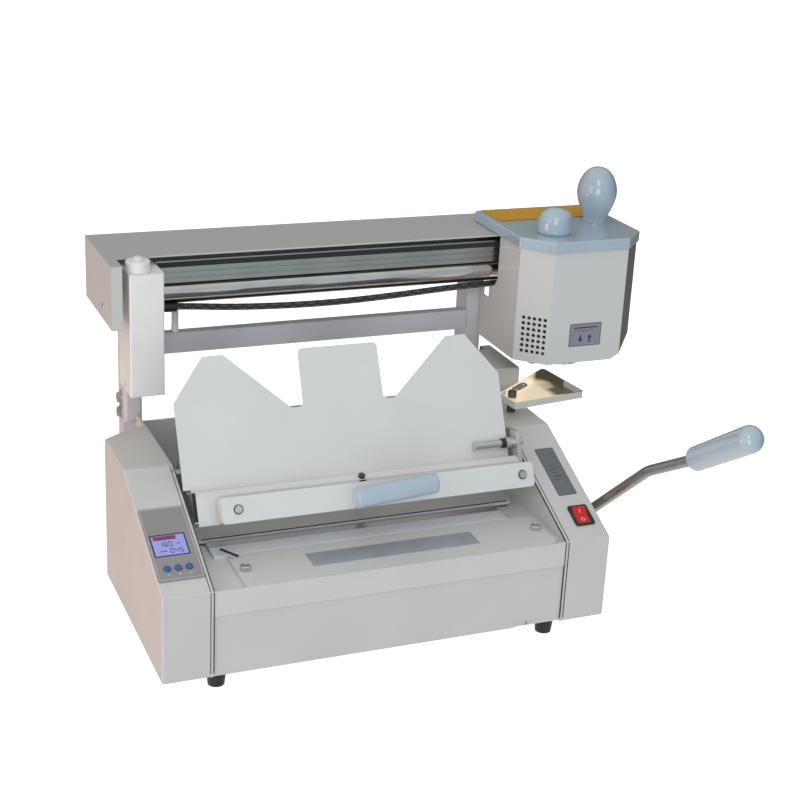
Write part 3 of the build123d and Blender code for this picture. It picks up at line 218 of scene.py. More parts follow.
class Finish:
    """A material with one Principled shader and handles for adding nodes to it."""

    def __init__(self, name, colour, roughness, metallic=0.0, edge=0.0006):
        self.material = bpy.data.materials.new(name)
        self.material.use_nodes = True
        self.tree = self.material.node_tree
        self.shader = self.tree.nodes["Principled BSDF"]
        self.shader.inputs["Base Color"].default_value = colour
        self.shader.inputs["Roughness"].default_value = roughness
        self.shader.inputs["Metallic"].default_value = metallic
        self.place = self.tree.nodes.new("ShaderNodeTexCoord").outputs["Object"]
        self.edge = edge

    def stretched(self, scale):
        """The part's own space, squeezed by a scale on each axis."""
        mapping = self.tree.nodes.new("ShaderNodeMapping")
        mapping.inputs["Scale"].default_value = scale
        self.tree.links.new(self.place, mapping.inputs["Vector"])
        return mapping.outputs["Vector"]

    def noise(self, scale, detail=2.0, space=None):
        """A grey noise with so many grains a metre."""
        node = self.tree.nodes.new("ShaderNodeTexNoise")
        node.inputs["Scale"].default_value = scale
        node.inputs["Detail"].default_value = detail
        self.tree.links.new(space or self.place, node.inputs["Vector"])
        return node.outputs["Fac"]

    def ramp(self, value, low, high, start, end):
        """Runs from start to end while the value runs from low to high."""
        node = self.tree.nodes.new("ShaderNodeMapRange")
        for socket, number in (("From Min", low), ("From Max", high), ("To Min", start), ("To Max", end)):
            node.inputs[socket].default_value = number
        self.tree.links.new(value, node.inputs["Value"])
        return node.outputs["Result"]

    def colours(self, value, first, second):
        """Mixes two colours or mixes by a value and feeds the shader."""
        node = self.tree.nodes.new("ShaderNodeMix")
        node.data_type = "RGBA"
        for socket, colour in ((6, first), (7, second)):
            if isinstance(colour, tuple):
                node.inputs[socket].default_value = colour
            else:
                self.tree.links.new(colour.outputs[2], node.inputs[socket])
        self.tree.links.new(value, node.inputs[0])
        self.tree.links.new(node.outputs[2], self.shader.inputs["Base Color"])
        return node

    def axes(self, vector):
        """The three parts of a vector, as sockets named X, Y and Z."""
        node = self.tree.nodes.new("ShaderNodeSeparateXYZ")
        self.tree.links.new(vector, node.inputs["Vector"])
        return node.outputs

    def facing(self, axis):
        """How far the face looks along an axis, from -1 to 1."""
        return self.axes(self.tree.nodes.new("ShaderNodeNewGeometry").outputs["Normal"])[axis]

    def maths(self, operation, *terms):
        """One sum of up to three terms, each a number or a value of the tree."""
        node = self.tree.nodes.new("ShaderNodeMath")
        node.operation = operation
        for socket, term in zip(node.inputs, terms):
            if isinstance(term, float):
                socket.default_value = term
            else:
                self.tree.links.new(term, socket)
        return node.outputs["Value"]

    def rough(self, value):
        """Feeds the roughness."""
        self.tree.links.new(value, self.shader.inputs["Roughness"])

    def relief(self, value, depth):
        """Turns a value into bump of a depth in metres, on edges softened by a small radius."""
        node = self.tree.nodes.new("ShaderNodeBump")
        node.inputs["Distance"].default_value = depth
        node.inputs["Strength"].default_value = 1.0
        self.tree.links.new(value, node.inputs["Height"])
        soft_edge = self.tree.nodes.new("ShaderNodeBevel")
        soft_edge.samples = 4
        soft_edge.inputs["Radius"].default_value = self.edge
        self.tree.links.new(soft_edge.outputs["Normal"], node.inputs["Normal"])
        self.tree.links.new(node.outputs["Normal"], self.shader.inputs["Normal"])

    def peel(self, low, high, depth):
        """The fine grain of baked paint: gloss from low to high roughness, and a relief of a depth."""
        grain = self.noise(1900, 2)
        self.rough(self.ramp(grain, 0.3, 0.7, low, high))
        self.relief(grain, depth)


def shade(colour, factor):
    """The same colour, lighter or darker."""
    return tuple(min(1.0, c * factor) for c in colour[:3]) + (1,)


print("paint grey in linear values:", [round(c, 3) for c in tone(196, 199, 199)[:3]])

# %% [markdown]
# Powder coat is baked plastic dust. It has a fine orange peel about half a millimetre wide, and its colour
# drifts a little over a large sheet. Two noises do both, and the gloss follows the peel.


# %% Powder coat
def powder_coat(name, colour, roughness=0.42, depth=0.00004):
    """Matte baked paint."""
    finish = Finish(name, colour, roughness)
    drift = finish.noise(9, 3)
    finish.colours(finish.ramp(drift, 0.3, 0.7, 0, 1), shade(colour, 0.965), shade(colour, 1.035))
    finish.peel(roughness - 0.05, roughness + 0.07, depth)
    return finish.material


powder_coat("cover_paint", tone(206, 202, 198))
powder_coat("frame_paint", tone(210, 206, 210))
powder_coat("deck_paint", tone(211, 207, 203))
powder_coat("plate_paint", tone(221, 217, 214), 0.38, 0.00002)
powder_coat("slate_metal", tone(222, 222, 226), 0.3, 0.00001)
powder_coat("amber_plate", tone(204, 148, 8), 0.5, 0.00001)
motor_metal = powder_coat("motor_metal", tone(70, 72, 76), 0.45)
print("powder coats made")

# %% [markdown]
# Two parts need a paint that changes with the way a face looks. The beam's paint is darker on upward faces:
# painted shade on its top. A black card beside the set would keep the light off the head's right-hand fold
# and give it a dark outline. The head's paint does the work of the card: it paints that shade where its
# surface turns to the right.


# %% Paint with painted shade on one side
def coat_with_painted_shade(name, axis, low, high, plain, dark):
    """Powder coat with painted shade: it runs from plain to dark while the face turns along an axis."""
    finish = Finish(name, plain, 0.42)
    finish.colours(finish.ramp(finish.facing(axis), low, high, 0, 1), plain, dark)
    finish.peel(0.38, 0.5, 0.00004)
    return finish.material


# Painted shade: the beam's upward faces are darker, and the head's right-hand faces much darker.
coat_with_painted_shade("beam_paint", "Z", 0.3, 0.9, tone(202, 199, 195), tone(178, 178, 175))
head_paint = coat_with_painted_shade("head_paint", "X", 0.4, 0.65, tone(208, 205, 202), tone(112, 110, 104))
print("beam and head paint made")

# %% [markdown]
# Rolled, ground and drawn metal keeps the lines of the tool. A noise squeezed along one axis gives such
# lines: many across, few along. The lines drive the gloss and a very small relief.


# %% Metals
def worked_metal(name, colour, roughness, lines=(4, 900, 900), depth=0.000008, spread=0.1):
    """Bare metal with the lines of a tool."""
    finish = Finish(name, colour, roughness, 1.0, 0.0004)
    scratch = finish.noise(1.0, 3, finish.stretched(lines))
    cloud = finish.noise(28, 2)
    finish.rough(finish.ramp(scratch, 0.3, 0.7, max(0.03, roughness - spread), roughness + spread))
    finish.colours(finish.ramp(cloud, 0.3, 0.7, 0, 1), shade(colour, 0.93), shade(colour, 1.04))
    finish.relief(scratch, depth)
    return finish.material


zinc_steel = worked_metal("zinc_steel", tone(205, 205, 203), 0.38, (300, 300, 300), 0.00001)
bright_steel = worked_metal("bright_steel", tone(206, 206, 206), 0.24)
worked_metal("satin_nickel", tone(168, 166, 163), 0.3, (700, 60, 60), 0.000004)
worked_metal("chrome_plate", tone(204, 200, 196), 0.12, (3, 700, 700), 0.000002, 0.04)
worked_metal("rail_metal", tone(164, 164, 160), 0.3, (3, 1200, 1200), 0.00001)
worked_metal("core_steel", tone(96, 90, 84), 0.45, (2, 1800, 2), 0.0001)
worked_metal("bronze", tone(184, 148, 92), 0.32)
worked_metal("plate_metal", tone(208, 212, 220), 0.5, (6, 1500, 1500), 0.00001)
print("metals made")

# %% [markdown]
# The chip tray is bright sheet. In a warm room its floor mirrors cream where it looks at the light, and olive
# in the far corner under the head. A true mirror would need that room around it, so the run of colour is
# painted and glows a little. The outer rims only look at white paper and stay neutral.

# %% Bright floor of the tray
tray_steel = Finish("tray_steel", tone(214, 214, 212), 0.25, 0.6, 0.0004)
spread = tray_steel.axes(tray_steel.tree.nodes.new("ShaderNodeTexCoord").outputs["Generated"])
wander = tray_steel.ramp(tray_steel.noise(26, 1), 0.2, 0.8, -0.12, 0.12)
to_the_right = tray_steel.ramp(tray_steel.maths("ADD", spread["X"], wander), 0.66, 0.8, 0, 1)
floor_mix = tray_steel.colours(to_the_right, tone(255, 236, 206), tone(92, 86, 66))
upward = tray_steel.ramp(tray_steel.facing("Z"), 0.8, 0.95, 0, 1)
rear = tray_steel.maths("MULTIPLY_ADD", spread["X"], -0.14, spread["Y"])
inside = tray_steel.maths("MAXIMUM", upward, tray_steel.ramp(rear, 0.4, 0.42, 0, 1))
whole = tray_steel.colours(inside, tone(176, 176, 172), floor_mix)
tray_steel.tree.links.new(whole.outputs[2], tray_steel.shader.inputs["Emission Color"])
tray_steel.shader.inputs["Emission Strength"].default_value = 0.45
tray_steel.relief(tray_steel.noise(1.0, 3, tray_steel.stretched((300, 5, 300))), 0.000003)
print("tray sheet made")

# %% [markdown]
# Moulded parts are plainer. Glossy grips get a clear coat over a barely uneven skin, and matte mouldings
# a fine spark-eroded grain. Rubber is nearly black, with a dusty sheen.


# %% Plastics and rubber
def moulding(name, colour, roughness, grain=900, depth=0.00002, coat=0.0, sheen=0.0):
    """Moulded plastic or rubber."""
    finish = Finish(name, colour, roughness)
    skin = finish.noise(grain, 2)
    cloud = finish.noise(14, 2)
    finish.colours(finish.ramp(cloud, 0.3, 0.7, 0, 1), shade(colour, 0.95), shade(colour, 1.05))
    finish.rough(finish.ramp(skin, 0.3, 0.7, max(0.04, roughness - 0.04), roughness + 0.05))
    finish.relief(skin, depth)
    finish.shader.inputs["Coat Weight"].default_value = coat
    finish.shader.inputs["Coat Roughness"].default_value = 0.08
    finish.shader.inputs["Sheen Weight"].default_value = sheen
    return finish.material


blue_gloss = moulding("blue_gloss", tone(172, 186, 198), 0.12, 60, 0.000004, 1.0)
white_plastic = moulding("white_plastic", tone(235, 231, 227), 0.4)
moulding("grey_plastic", tone(58, 92, 146), 0.35)
black_plastic = moulding("black_plastic", tone(30, 30, 32), 0.42)
moulding("red_plastic", tone(214, 10, 6), 0.45, 300, 0.00001, 0.05)
moulding("panel_film", tone(147, 139, 140), 0.5, 1600, 0.00001)
black_rubber = moulding("black_rubber", tone(24, 24, 25), 0.7, 700, 0.00006, 0.0, 0.3)
black_braid = moulding("black_braid", tone(34, 33, 31), 0.6, 800, 0.00006, 0.0, 0.4)
print("mouldings made")

# %% [markdown]
# The display is a lit liquid crystal behind glass: violet blue, with a faint grain of pixels. Emission gives
# the light, the coat gives the glass.

# %% Display glass
display_finish = Finish("display_glass", tone(98, 98, 140), 0.12)
display_finish.shader.inputs["Coat Weight"].default_value = 1.0
display_finish.shader.inputs["Emission Color"].default_value = tone(146, 152, 222)
display_finish.shader.inputs["Emission Strength"].default_value = 0.62
pixels = display_finish.noise(2600, 0)
display_finish.colours(display_finish.ramp(pixels, 0.35, 0.65, 0, 1), tone(88, 88, 136), tone(106, 106, 156))
print("display glass made")

# %% [markdown]
# Now each ready part gets its finish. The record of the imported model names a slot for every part, and the
# finishes carry the same names, so one loop does the work.

# %% Put the finishes on the parts
finishes = {m.name: m for m in bpy.data.materials}
for entry in frame["record"]["subparts"]:
    part = frame["nodes"][entry["node"]]
    finish = finishes[entry["material_slot"]]
    part.data.materials.clear()
    part.data.materials.append(finish)
frame["nodes"]["head_shell"].data.materials.clear()
frame["nodes"]["head_shell"].data.materials.append(head_paint)

# %% [markdown]
# ## Making small parts
# A screw head, a washer, a label and a strip are all stacks of rings: outlines of the same number of points,
# one above the other, joined by faces. One helper makes them all. The rings are in millimetres on a little
# drawing plane of their own, and a matrix stands that plane on the machine.


# %% Rings, stacks and where they stand
def stand(origin, across, normal):
    """A plane on the machine: a drawing point, the direction of its x axis and the way it faces."""
    out = Vector(normal).normalized()
    side = Vector(across)
    side = (side - out * side.dot(out)).normalized()
    return Matrix.Translation(at(*origin)) @ Matrix((side, out.cross(side), out)).transposed().to_4x4()


def ring(radius, z, points=32):
    """A round outline."""
    steps = [2 * math.pi * i / points for i in range(points)]
    return [Vector((radius * math.cos(a), radius * math.sin(a), z)) for a in steps]


def rounded(width, height, corner, z, steps=6):
    """An outline of a rectangle with round corners."""
    corner = max(corner, 0.01)
    outline = []
    for quarter, (sx, sy) in enumerate(((1, 1), (-1, 1), (-1, -1), (1, -1))):
        for i in range(steps):
            angle = math.pi / 2 * (quarter + i / (steps - 1))
            x = sx * (width / 2 - corner) + corner * math.cos(angle)
            y = sy * (height / 2 - corner) + corner * math.sin(angle)
            outline.append(Vector((x, y, z)))
    return outline


def put(name, shape, place, finish, body, smooth=False):
    """Turns a shape in millimetres into a piece that rides on a body."""
    bmesh.ops.recalc_face_normals(shape, faces=shape.faces)
    mesh = bpy.data.meshes.new(name)
    shape.to_mesh(mesh)
    shape.free()
    mesh.transform(place @ Matrix.Scale(0.001, 4))
    mesh.materials.append(finish)
    if smooth:
        mesh.shade_smooth()
    piece = bpy.data.objects.new(name, mesh)
    bpy.context.collection.objects.link(piece)
    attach(piece, body)
    return piece


def add_stack(shape, rings, lids=(True, True)):
    """Joins rings by faces; lids close the first and the last."""
    rows = [[shape.verts.new(point) for point in outline] for outline in rings]
    for low, high in zip(rows, rows[1:]):
        for here in range(len(low)):
            there = (here + 1) % len(low)
            shape.faces.new((low[here], low[there], high[there], high[here]))
    if lids[0]:
        shape.faces.new(list(reversed(rows[0])))
    if lids[1]:
        shape.faces.new(rows[-1])


def stack(name, rings, place, finish, body, lids=(True, True), smooth=False):
    """One piece made of one stack of rings."""
    shape = bmesh.new()
    add_stack(shape, rings, lids)
    return put(name, shape, place, finish, body, smooth)


def tile(name, place, width, height, corner, thickness, finish, body):
    """A thin plate with round corners and a broken top edge."""
    edge = min(0.25, thickness / 2)
    rings = [
        rounded(width, height, corner, 0),
        rounded(width, height, corner, thickness - edge),
        rounded(width - 2 * edge, height - 2 * edge, corner - edge, thickness),
    ]
    return stack(name, rings, place, finish, body)


def border(name, place, width, height, corner, line, thickness, finish, body):
    """A thin raised line around a plate."""
    inner = (width - 2 * line, height - 2 * line, corner - line)
    rings = [
        rounded(width, height, corner, 0),
        rounded(width, height, corner, thickness),
        rounded(*inner, thickness),
        rounded(*inner, 0),
        rounded(width, height, corner, 0),
    ]
    return stack(name, rings, place, finish, body, (False, False))


def prints(name, place, outlines, thickness, finish, body):
    """Several flat marks of one ink, each given by its outline."""
    shape = bmesh.new()
    for outline in outlines:
        add_stack(shape, [[Vector((x, y, z)) for x, y in outline] for z in (0, thickness)])
    return put(name, shape, place, finish, body)


def bar(x, y, width, height):
    """The outline of one straight mark."""
    left, right_end = x - width / 2, x + width / 2
    low, high = y - height / 2, y + height / 2
    return [(left, low), (right_end, low), (right_end, high), (left, high)]


print("a ring has", len(ring(1, 0)), "points, a rounded plate", len(rounded(2, 1, 0.2, 0)))

# %% [markdown]
# The tops of the two cheeks slope towards the user. Everything on them is placed by a point along the slope,
# so the slope gets its own helper. The clamp is tilted too, and gets one as well.

# %% Points on the slope and on the clamp
CHEEK_FRONT, CHEEK_TOP, SLOPE_DEPTH = 104.3, 180.2, 175.0
SLOPE = math.atan2(CHEEK_TOP - CHEEK_FRONT, SLOPE_DEPTH)
CLAMP_TILT = math.radians(25.58)
CLAMP_Y, CLAMP_Z = 130.9, 165.7


def on_slope(x, along, lift=0.0):
    """A plane on the cheek tops: x to the right, and so many millimetres up the slope from its front edge."""
    run, rise = math.cos(SLOPE), math.sin(SLOPE)
    point = (x, along * run - lift * rise, CHEEK_FRONT + along * rise + lift * run)
    return stand(point, RIGHT, (0, -math.sin(SLOPE), math.cos(SLOPE)))


def on_clamp(x, rise, out):
    """A plane across the clamp: x to the right, rise up its back plate, out of its front face."""
    lean, height = math.sin(CLAMP_TILT), math.cos(CLAMP_TILT)
    point = (x, CLAMP_Y + rise * lean - out * height, CLAMP_Z + rise * height + out * lean)
    return stand(point, RIGHT, (0, -height, lean))


print("slope", round(math.degrees(SLOPE), 2), "degrees")

# %% [markdown]
# ## Labels
# The machine has a grey data plate on the right cheek and a small one on the head. Both are thin printed
# sheet. They stay without words here, with ruled rows and a border, and the one on the head has two arrows.

# %% Data plates
ink = moulding("label_ink", tone(58, 56, 72), 0.5)
pale_ink = moulding("pale_ink", tone(214, 216, 222), 0.45)
slate_film = moulding("slate_film", tone(108, 110, 114), 0.5, 1600, 0.00001)
violet_film = moulding("violet_film", tone(138, 134, 146), 0.5, 1600, 0.00001)
LABEL = (245.3, 110.1)
cheek_label = on_slope(*LABEL)
tile("cheek_label", cheek_label, 24.5, 78.3, 1.6, 0.8, slate_film, "base")
label_face = on_slope(*LABEL, 0.8)
border("cheek_label_border", label_face, 23.9, 77.7, 1.4, 0.35, 0.05, ink, "base")
rows = [bar(-2.0 + 1.5 * (i % 2), 9.0 - 5.6 * i, 9.0 + 3.0 * (i % 2), 0.9) for i in range(5)]
prints("cheek_label_rows", label_face, rows, 0.05, ink, "base")
edge_rows = [bar(7.5, 30 - 6.0 * i, 3.0, 0.6) for i in range(11)]
prints("cheek_label_edge", label_face, edge_rows, 0.05, ink, "base")
head_label = stand((326.5, 201.5, 284.6), RIGHT, FRONT)
tile("head_label", head_label, 45.0, 30.3, 1.0, 0.5, violet_film, "head")
head_label_face = stand((326.5, 201.0, 284.6), RIGHT, FRONT)
border("head_label_border", head_label_face, 43.4, 28.6, 0.8, 0.4, 0.05, ink, "head")
arrows = []
for x, way in ((-6.5, -1), (6.5, 1)):
    arrows.append(bar(x, -5.2 - 2.0 * way, 2.2, 6.0))
    barb, tip = -4.6 + 0.4 * way, -4.6 + 5.0 * way
    arrows.append([(x - 3.4 * way, barb), (x + 3.4 * way, barb), (x, tip)])
prints("head_label_arrows", head_label_face, arrows, 0.05, ink, "head")
head_rows = [bar(0, 9.4, 34.0, 1.6), bar(-2.0, 5.6, 27.0, 0.6)]
prints("head_label_rows", head_label_face, head_rows, 0.05, ink, "head")
print("labels with", len(rows), "rows and", len(arrows) // 2, "arrows")

# %% [markdown]
# ## The control panel
# The panel is a printed film with a window. A light line is printed around it, and each button has a plain
# sign under it: less, set and more. Signs like these need no language.

# %% Lines and signs on the panel
WINDOW = (-244.5, 71.8)
panel_middle = on_slope(-242.25, 74.25, 1.6)
border("panel_line", panel_middle, 48.5, 101.5, 1.6, 0.45, 0.04, pale_ink, "base")
window_frame = on_slope(*WINDOW, 1.6)
border("window_line", window_frame, 39.6, 31.4, 1.0, 1.4, 0.15, black_plastic, "base")
sign_plane = on_slope(-242.75, 30.2, 1.6)
signs = [bar(-12.3, 0, 3.2, 0.7), bar(12.2, 0, 3.2, 0.7), bar(12.2, 0, 0.7, 3.2)]
twelfths = [math.pi * i / 6 for i in range(12)]
signs.append([(0.1 + 1.1 * math.cos(a), 1.1 * math.sin(a)) for a in twelfths])
prints("button_signs", sign_plane, signs, 0.04, pale_ink, "base")
print("signs:", len(signs))

# %% [markdown]
# The display shows a red heading and plain figures. Each figure is built of the seven bars that every
# digital clock uses, so no lettering is drawn.

# %% Heading and figures of the display
heading_glow = Finish("heading_glow", tone(104, 44, 74), 0.4)
heading_glow.shader.inputs["Emission Color"].default_value = tone(190, 60, 96)
heading_glow.shader.inputs["Emission Strength"].default_value = 0.16
heading_glow.relief(heading_glow.noise(2600, 0), 0.000002)
figure_ink = moulding("figure_ink", tone(76, 62, 98), 0.4, 2600, 0.000002)
glass_face = on_slope(*WINDOW, 1.3)
heading_place = glass_face @ Matrix.Translation((-0.0036, 0.0108, 0))
heading = heading_glow.material
tile("display_heading", heading_place, 25.4, 5.6, 0.2, 0.12, heading, "base")
SEGMENTS = {"1": "bc", "8": "abcdefg", "0": "abcdef", "5": "acdfg", "4": "bcfg"}
SEGMENT_BARS = {
    "a": (0, 3.0, 3.0, 0.85),
    "b": (1.75, 1.55, 0.85, 2.3),
    "c": (1.75, -1.55, 0.85, 2.3),
    "d": (0, -3.0, 3.0, 0.85),
    "e": (-1.75, -1.55, 0.85, 2.3),
    "f": (-1.75, 1.55, 0.85, 2.3),
    "g": (0, 0, 3.0, 0.85),
}
figures = []
for row, digits, start in ((1.6, "180", -9.5), (-8.0, "045", 1.0)):
    for place, digit in enumerate(digits):
        for segment in SEGMENTS[digit]:
            x, y, width, height = SEGMENT_BARS[segment]
            figures.append(bar(start + 5.4 * place + x, row + y, width, height))
figures.append(bar(-8.0, -8.0, 8.0, 0.9))
figures.append(bar(10.0, 1.6, 5.0, 0.9))
prints("display_figures", glass_face, figures, 0.12, figure_ink, "base")
print("figure bars:", len(figures))

# %% [markdown]
# The mains switch carries the two signs that every mains switch has, a bar for on and a ring for off. They
# are printed on the two sloping halves of the rocker and tilt with it.

# %% Signs on the rocker
ROCKER = SLOPE + math.radians(8.0)
switch_middle = on_slope(247.2, 36.4).translation
for name, half in (("rocker_on", 1), ("rocker_off", -1)):
    lean = ROCKER + half * math.atan2(1.8, 11.8)
    run = Vector((0, math.cos(ROCKER), math.sin(ROCKER))) * half * 5.9
    rise = Vector((0, -math.sin(ROCKER), math.cos(ROCKER))) * 1.93
    middle = switch_middle * 1000 - DRAWING_SHIFT + run + rise
    sign_place = stand(middle, RIGHT, (0, -math.sin(lean), math.cos(lean)))
    if name == "rocker_on":
        prints(name, sign_place, [bar(0, 0, 0.9, 5.4)], 0.06, pale_ink, "rocker")
    else:
        border(name, sign_place, 5.2, 5.2, 2.55, 0.8, 0.06, pale_ink, "rocker")
print("rocker leans", round(math.degrees(ROCKER), 1), "degrees")

# %% [markdown]
# ## Seams and gaps in painted shade
# Between each cheek's cover, its steel side plate and the front panel run two joints. Their gaps lie in
# shade, two thin dark lines up the front and along the slope, and a dark strip in each joint paints that
# shade. A dark strip along the front edge of the rear nip plate paints the shade in the nip's gap, and one on
# the clamp's left arm paints the shade between arm and cheek. A small dark spring pin lies at the left end of
# the nip.

# %% Painted shade strips in seams and gaps, and the pin
# Dark strips in the seams: painted shade of the gaps between the sheets.
for number, seam_x in enumerate((-216.2, -212.2, 212.2, 216.2)):
    runs = (
        ("front", stand((seam_x, 0.0, 54.0), RIGHT, FRONT), 99.0),
        ("slope", on_slope(seam_x, 95.4), 188.0),
    )
    for part_name, place, length in runs:
        strip = [rounded(0.9, length, 0.1, -1.8, 3), rounded(0.9, length, 0.1, 0.06, 3)]
        stack(f"seam_{part_name}_{number}", strip, place, black_rubber, "base")
# Painted shade of the nip's gap, as a dark strip on the rear nip plate.
nip_lip = stand((0, 123.4, 105.5), RIGHT, UP)
tile("nip_lip", nip_lip, 386.0, 2.6, 0.4, 0.5, black_rubber, "nip_slide")
# Painted shade between the clamp's left arm and the cheek, as a dark strip on the arm.
arm_edge = on_clamp(-205.0, -20.0, 18.0)
tile("arm_edge", arm_edge, 4.0, 33.0, 0.5, 0.8, black_rubber, "clamp")
pin_from, pin_to = Vector((-178.5, 95.0, 105.9)), Vector((-164.0, 72.0, 105.9))
pin_run = pin_to - pin_from
pin_place = stand(pin_from, UP, pin_run)
pin_rings = [ring(0.8, 0, 16), ring(1.2, 0.5, 16)]
for coil in range(18):
    height = 1.0 + coil * (pin_run.length - 2.0) / 18
    pin_rings += [ring(1.25, height, 16), ring(0.95, height + 0.7, 16)]
pin_rings += [ring(1.2, pin_run.length - 0.5, 16), ring(0.8, pin_run.length, 16)]
stack("nip_pin", pin_rings, pin_place, black_plastic, "base", smooth=True)
print("pin", round(pin_run.length, 1), "mm long")

# %% [markdown]
# ## The head
# The head is a box of folded sheet. Its left side has two thin beads of sealant along the folds, and behind
# the round vents sits a black sheet: painted shade of the head's inside, so that the holes look dark. One
# vent holds a red pilot lamp.

# %% Beads, painted shade behind the vents, and pilot lamp
HEAD_LEFT = 243.0
for name, front, back in (
    ("bead_high", (240.4, 390.2), (290.0, 379.5)),
    ("bead_low", (236.4, 367.6), (288.9, 351.0)),
):
    (front_y, front_z), (back_y, back_z) = front, back
    run = Vector((0, back_y - front_y, back_z - front_z))
    bead = stand((HEAD_LEFT, (front_y + back_y) / 2, (front_z + back_z) / 2), run, (-1, 0, 0))
    rings = [
        rounded(run.length, 1.5, 0.7, 0),
        rounded(run.length, 1.3, 0.6, 0.3),
        rounded(run.length - 0.6, 0.6, 0.3, 0.5),
    ]
    stack(name, rings, bead, white_plastic, "head")
vent_across = Vector((32.8, -31.5, 0)).normalized()
vent_out = Vector((-31.5, -32.8, 0)).normalized()
VENT_COLUMN, VENT_ROW = 7.05, 7.28


def on_vents(column, row, out):
    """A plane at one vent of the head's left corner, so far outside the sheet."""
    foot = Vector((HEAD_LEFT, 233.0, 248.0))
    climb = Vector((0, 0, 14.0 + VENT_ROW * row))
    point = foot + vent_across * (10.6 + VENT_COLUMN * column) + climb + vent_out * out
    return stand(point, vent_across, vent_out)


# A black sheet behind the vents: painted shade of the head's inside.
tile("vent_felt", on_vents(2, 3, -2.6), 36.0, 51.0, 1.0, 0.7, black_rubber, "head")
pilot_glow = Finish("pilot_glow", tone(120, 22, 30), 0.25)
pilot_glow.shader.inputs["Emission Color"].default_value = tone(230, 60, 50)
pilot_glow.shader.inputs["Emission Strength"].default_value = 0.1
pilot_glow.relief(pilot_glow.noise(600, 1), 0.00001)
dome = [ring(1.9 * math.cos(a), 1.6 * math.sin(a), 20) for a in (0.0, 0.35, 0.7, 1.05, 1.4)]
stack("pilot_lamp", dome, on_vents(4, 0, -1.5), pilot_glow.material, "head", smooth=True)
print("felt behind", 5 * 7, "vents")

# %% [markdown]
# The egg knob stands in a short turned collar, and the amber plate on the cap has a dark printed line
# around it.

# %% Collar and plate line
egg_foot = stand((HEAD_LEFT + 133.0, 290.6, 407.4), RIGHT, UP)
collar_outline = ((14.6, 0.1), (16.4, 0.1), (16.4, 0.8), (16.0, 1.2), (14.8, 1.2))
collar = [ring(radius, z, 48) for radius, z in collar_outline]
stack("egg_collar", collar, egg_foot, blue_gloss, "head", (False, False))
amber_ink = moulding("amber_ink", tone(120, 88, 18), 0.5)
amber_face = stand((HEAD_LEFT + 79.0, 336.0, 408.2), RIGHT, UP)
border("amber_line", amber_face, 143.0, 55.0, 0.6, 0.5, 0.05, amber_ink, "head")
print("collar", 2 * collar_outline[1][0], "mm wide")

# %% [markdown]
# ## Rails
# A black strip runs along the top of the upper rail's face. A second black strip fills the gap between the
# rail and the round guide shaft, and a wide one lines the web behind the shaft. These two are painted shade
# of the gap and of the web.

# %% Dark strip on the rail, and painted shade in the gap and behind the shaft
RAIL_SPAN = (-199.0, 380.0)
rail_middle = sum(RAIL_SPAN) / 2
rail_length = RAIL_SPAN[1] - RAIL_SPAN[0]
rail_band_place = stand((rail_middle, 300.0, 380.6), RIGHT, FRONT)
tile("rail_wiper", rail_band_place, rail_length, 6.4, 0.4, 0.6, black_rubber, "base")
# Painted shade: black strips in the gap under the rail and on the web behind the shaft.
gap_felt = stand((rail_middle, 305.0, 357.4), RIGHT, FRONT)
shade_strip_rings = [rounded(rail_length, 2.6, 0.3, -6.0), rounded(rail_length, 2.6, 0.3, 0)]
stack("gap_felt", shade_strip_rings, gap_felt, black_rubber, "base")
web_liner = stand((rail_middle, 330.0, 339.0), RIGHT, FRONT)
tile("web_liner", web_liner, rail_length, 29.0, 0.4, 0.5, black_rubber, "base")
print("strips", rail_length, "mm long")

# %% [markdown]
# ## The cable to the head
# The head takes its current from a cable in a braided sleeve. It leaves the gland at the left, sags a little
# and goes into the head. Its middle line is a smooth curve drawn towards the points below. The sleeve is
# a tube around that line: two sets of strands wind in opposite directions, one over the other, and raise
# small diamonds.

# %% Line of the cable
CABLE_Z = 322.5
cable_sags = (
    (-182.0, 0.0),
    (-160.0, 1.2),
    (-90, 8.0),
    (15, 11.3),
    (110, 8.0),
    (HEAD_LEFT - 40, 1.8),
    (HEAD_LEFT + 24.4, 0.5),
)
cable_points = [(x, 322, CABLE_Z - sag) for x, sag in cable_sags]
cable_curve = bpy.data.curves.new("cable_line", "CURVE")
cable_curve.dimensions = "3D"
spline = cable_curve.splines.new("NURBS")
spline.points.add(len(cable_points) - 1)
for point, place in zip(spline.points, cable_points):
    point.co = (*at(*place), 1)
spline.use_endpoint_u = True
spline.order_u = 3
spline.resolution_u = 24
cable_guide = bpy.data.objects.new("cable_guide", cable_curve)
bpy.context.collection.objects.link(cable_guide)
bpy.context.view_layer.update()
line_mesh = bpy.data.meshes.new_from_object(cable_guide)
line = [v.co.copy() for v in line_mesh.vertices]
bpy.data.objects.remove(cable_guide)
cable_length = sum((b - a).length for a, b in zip(line, line[1:]))
print("cable length", round(cable_length * 1000, 1), "mm")

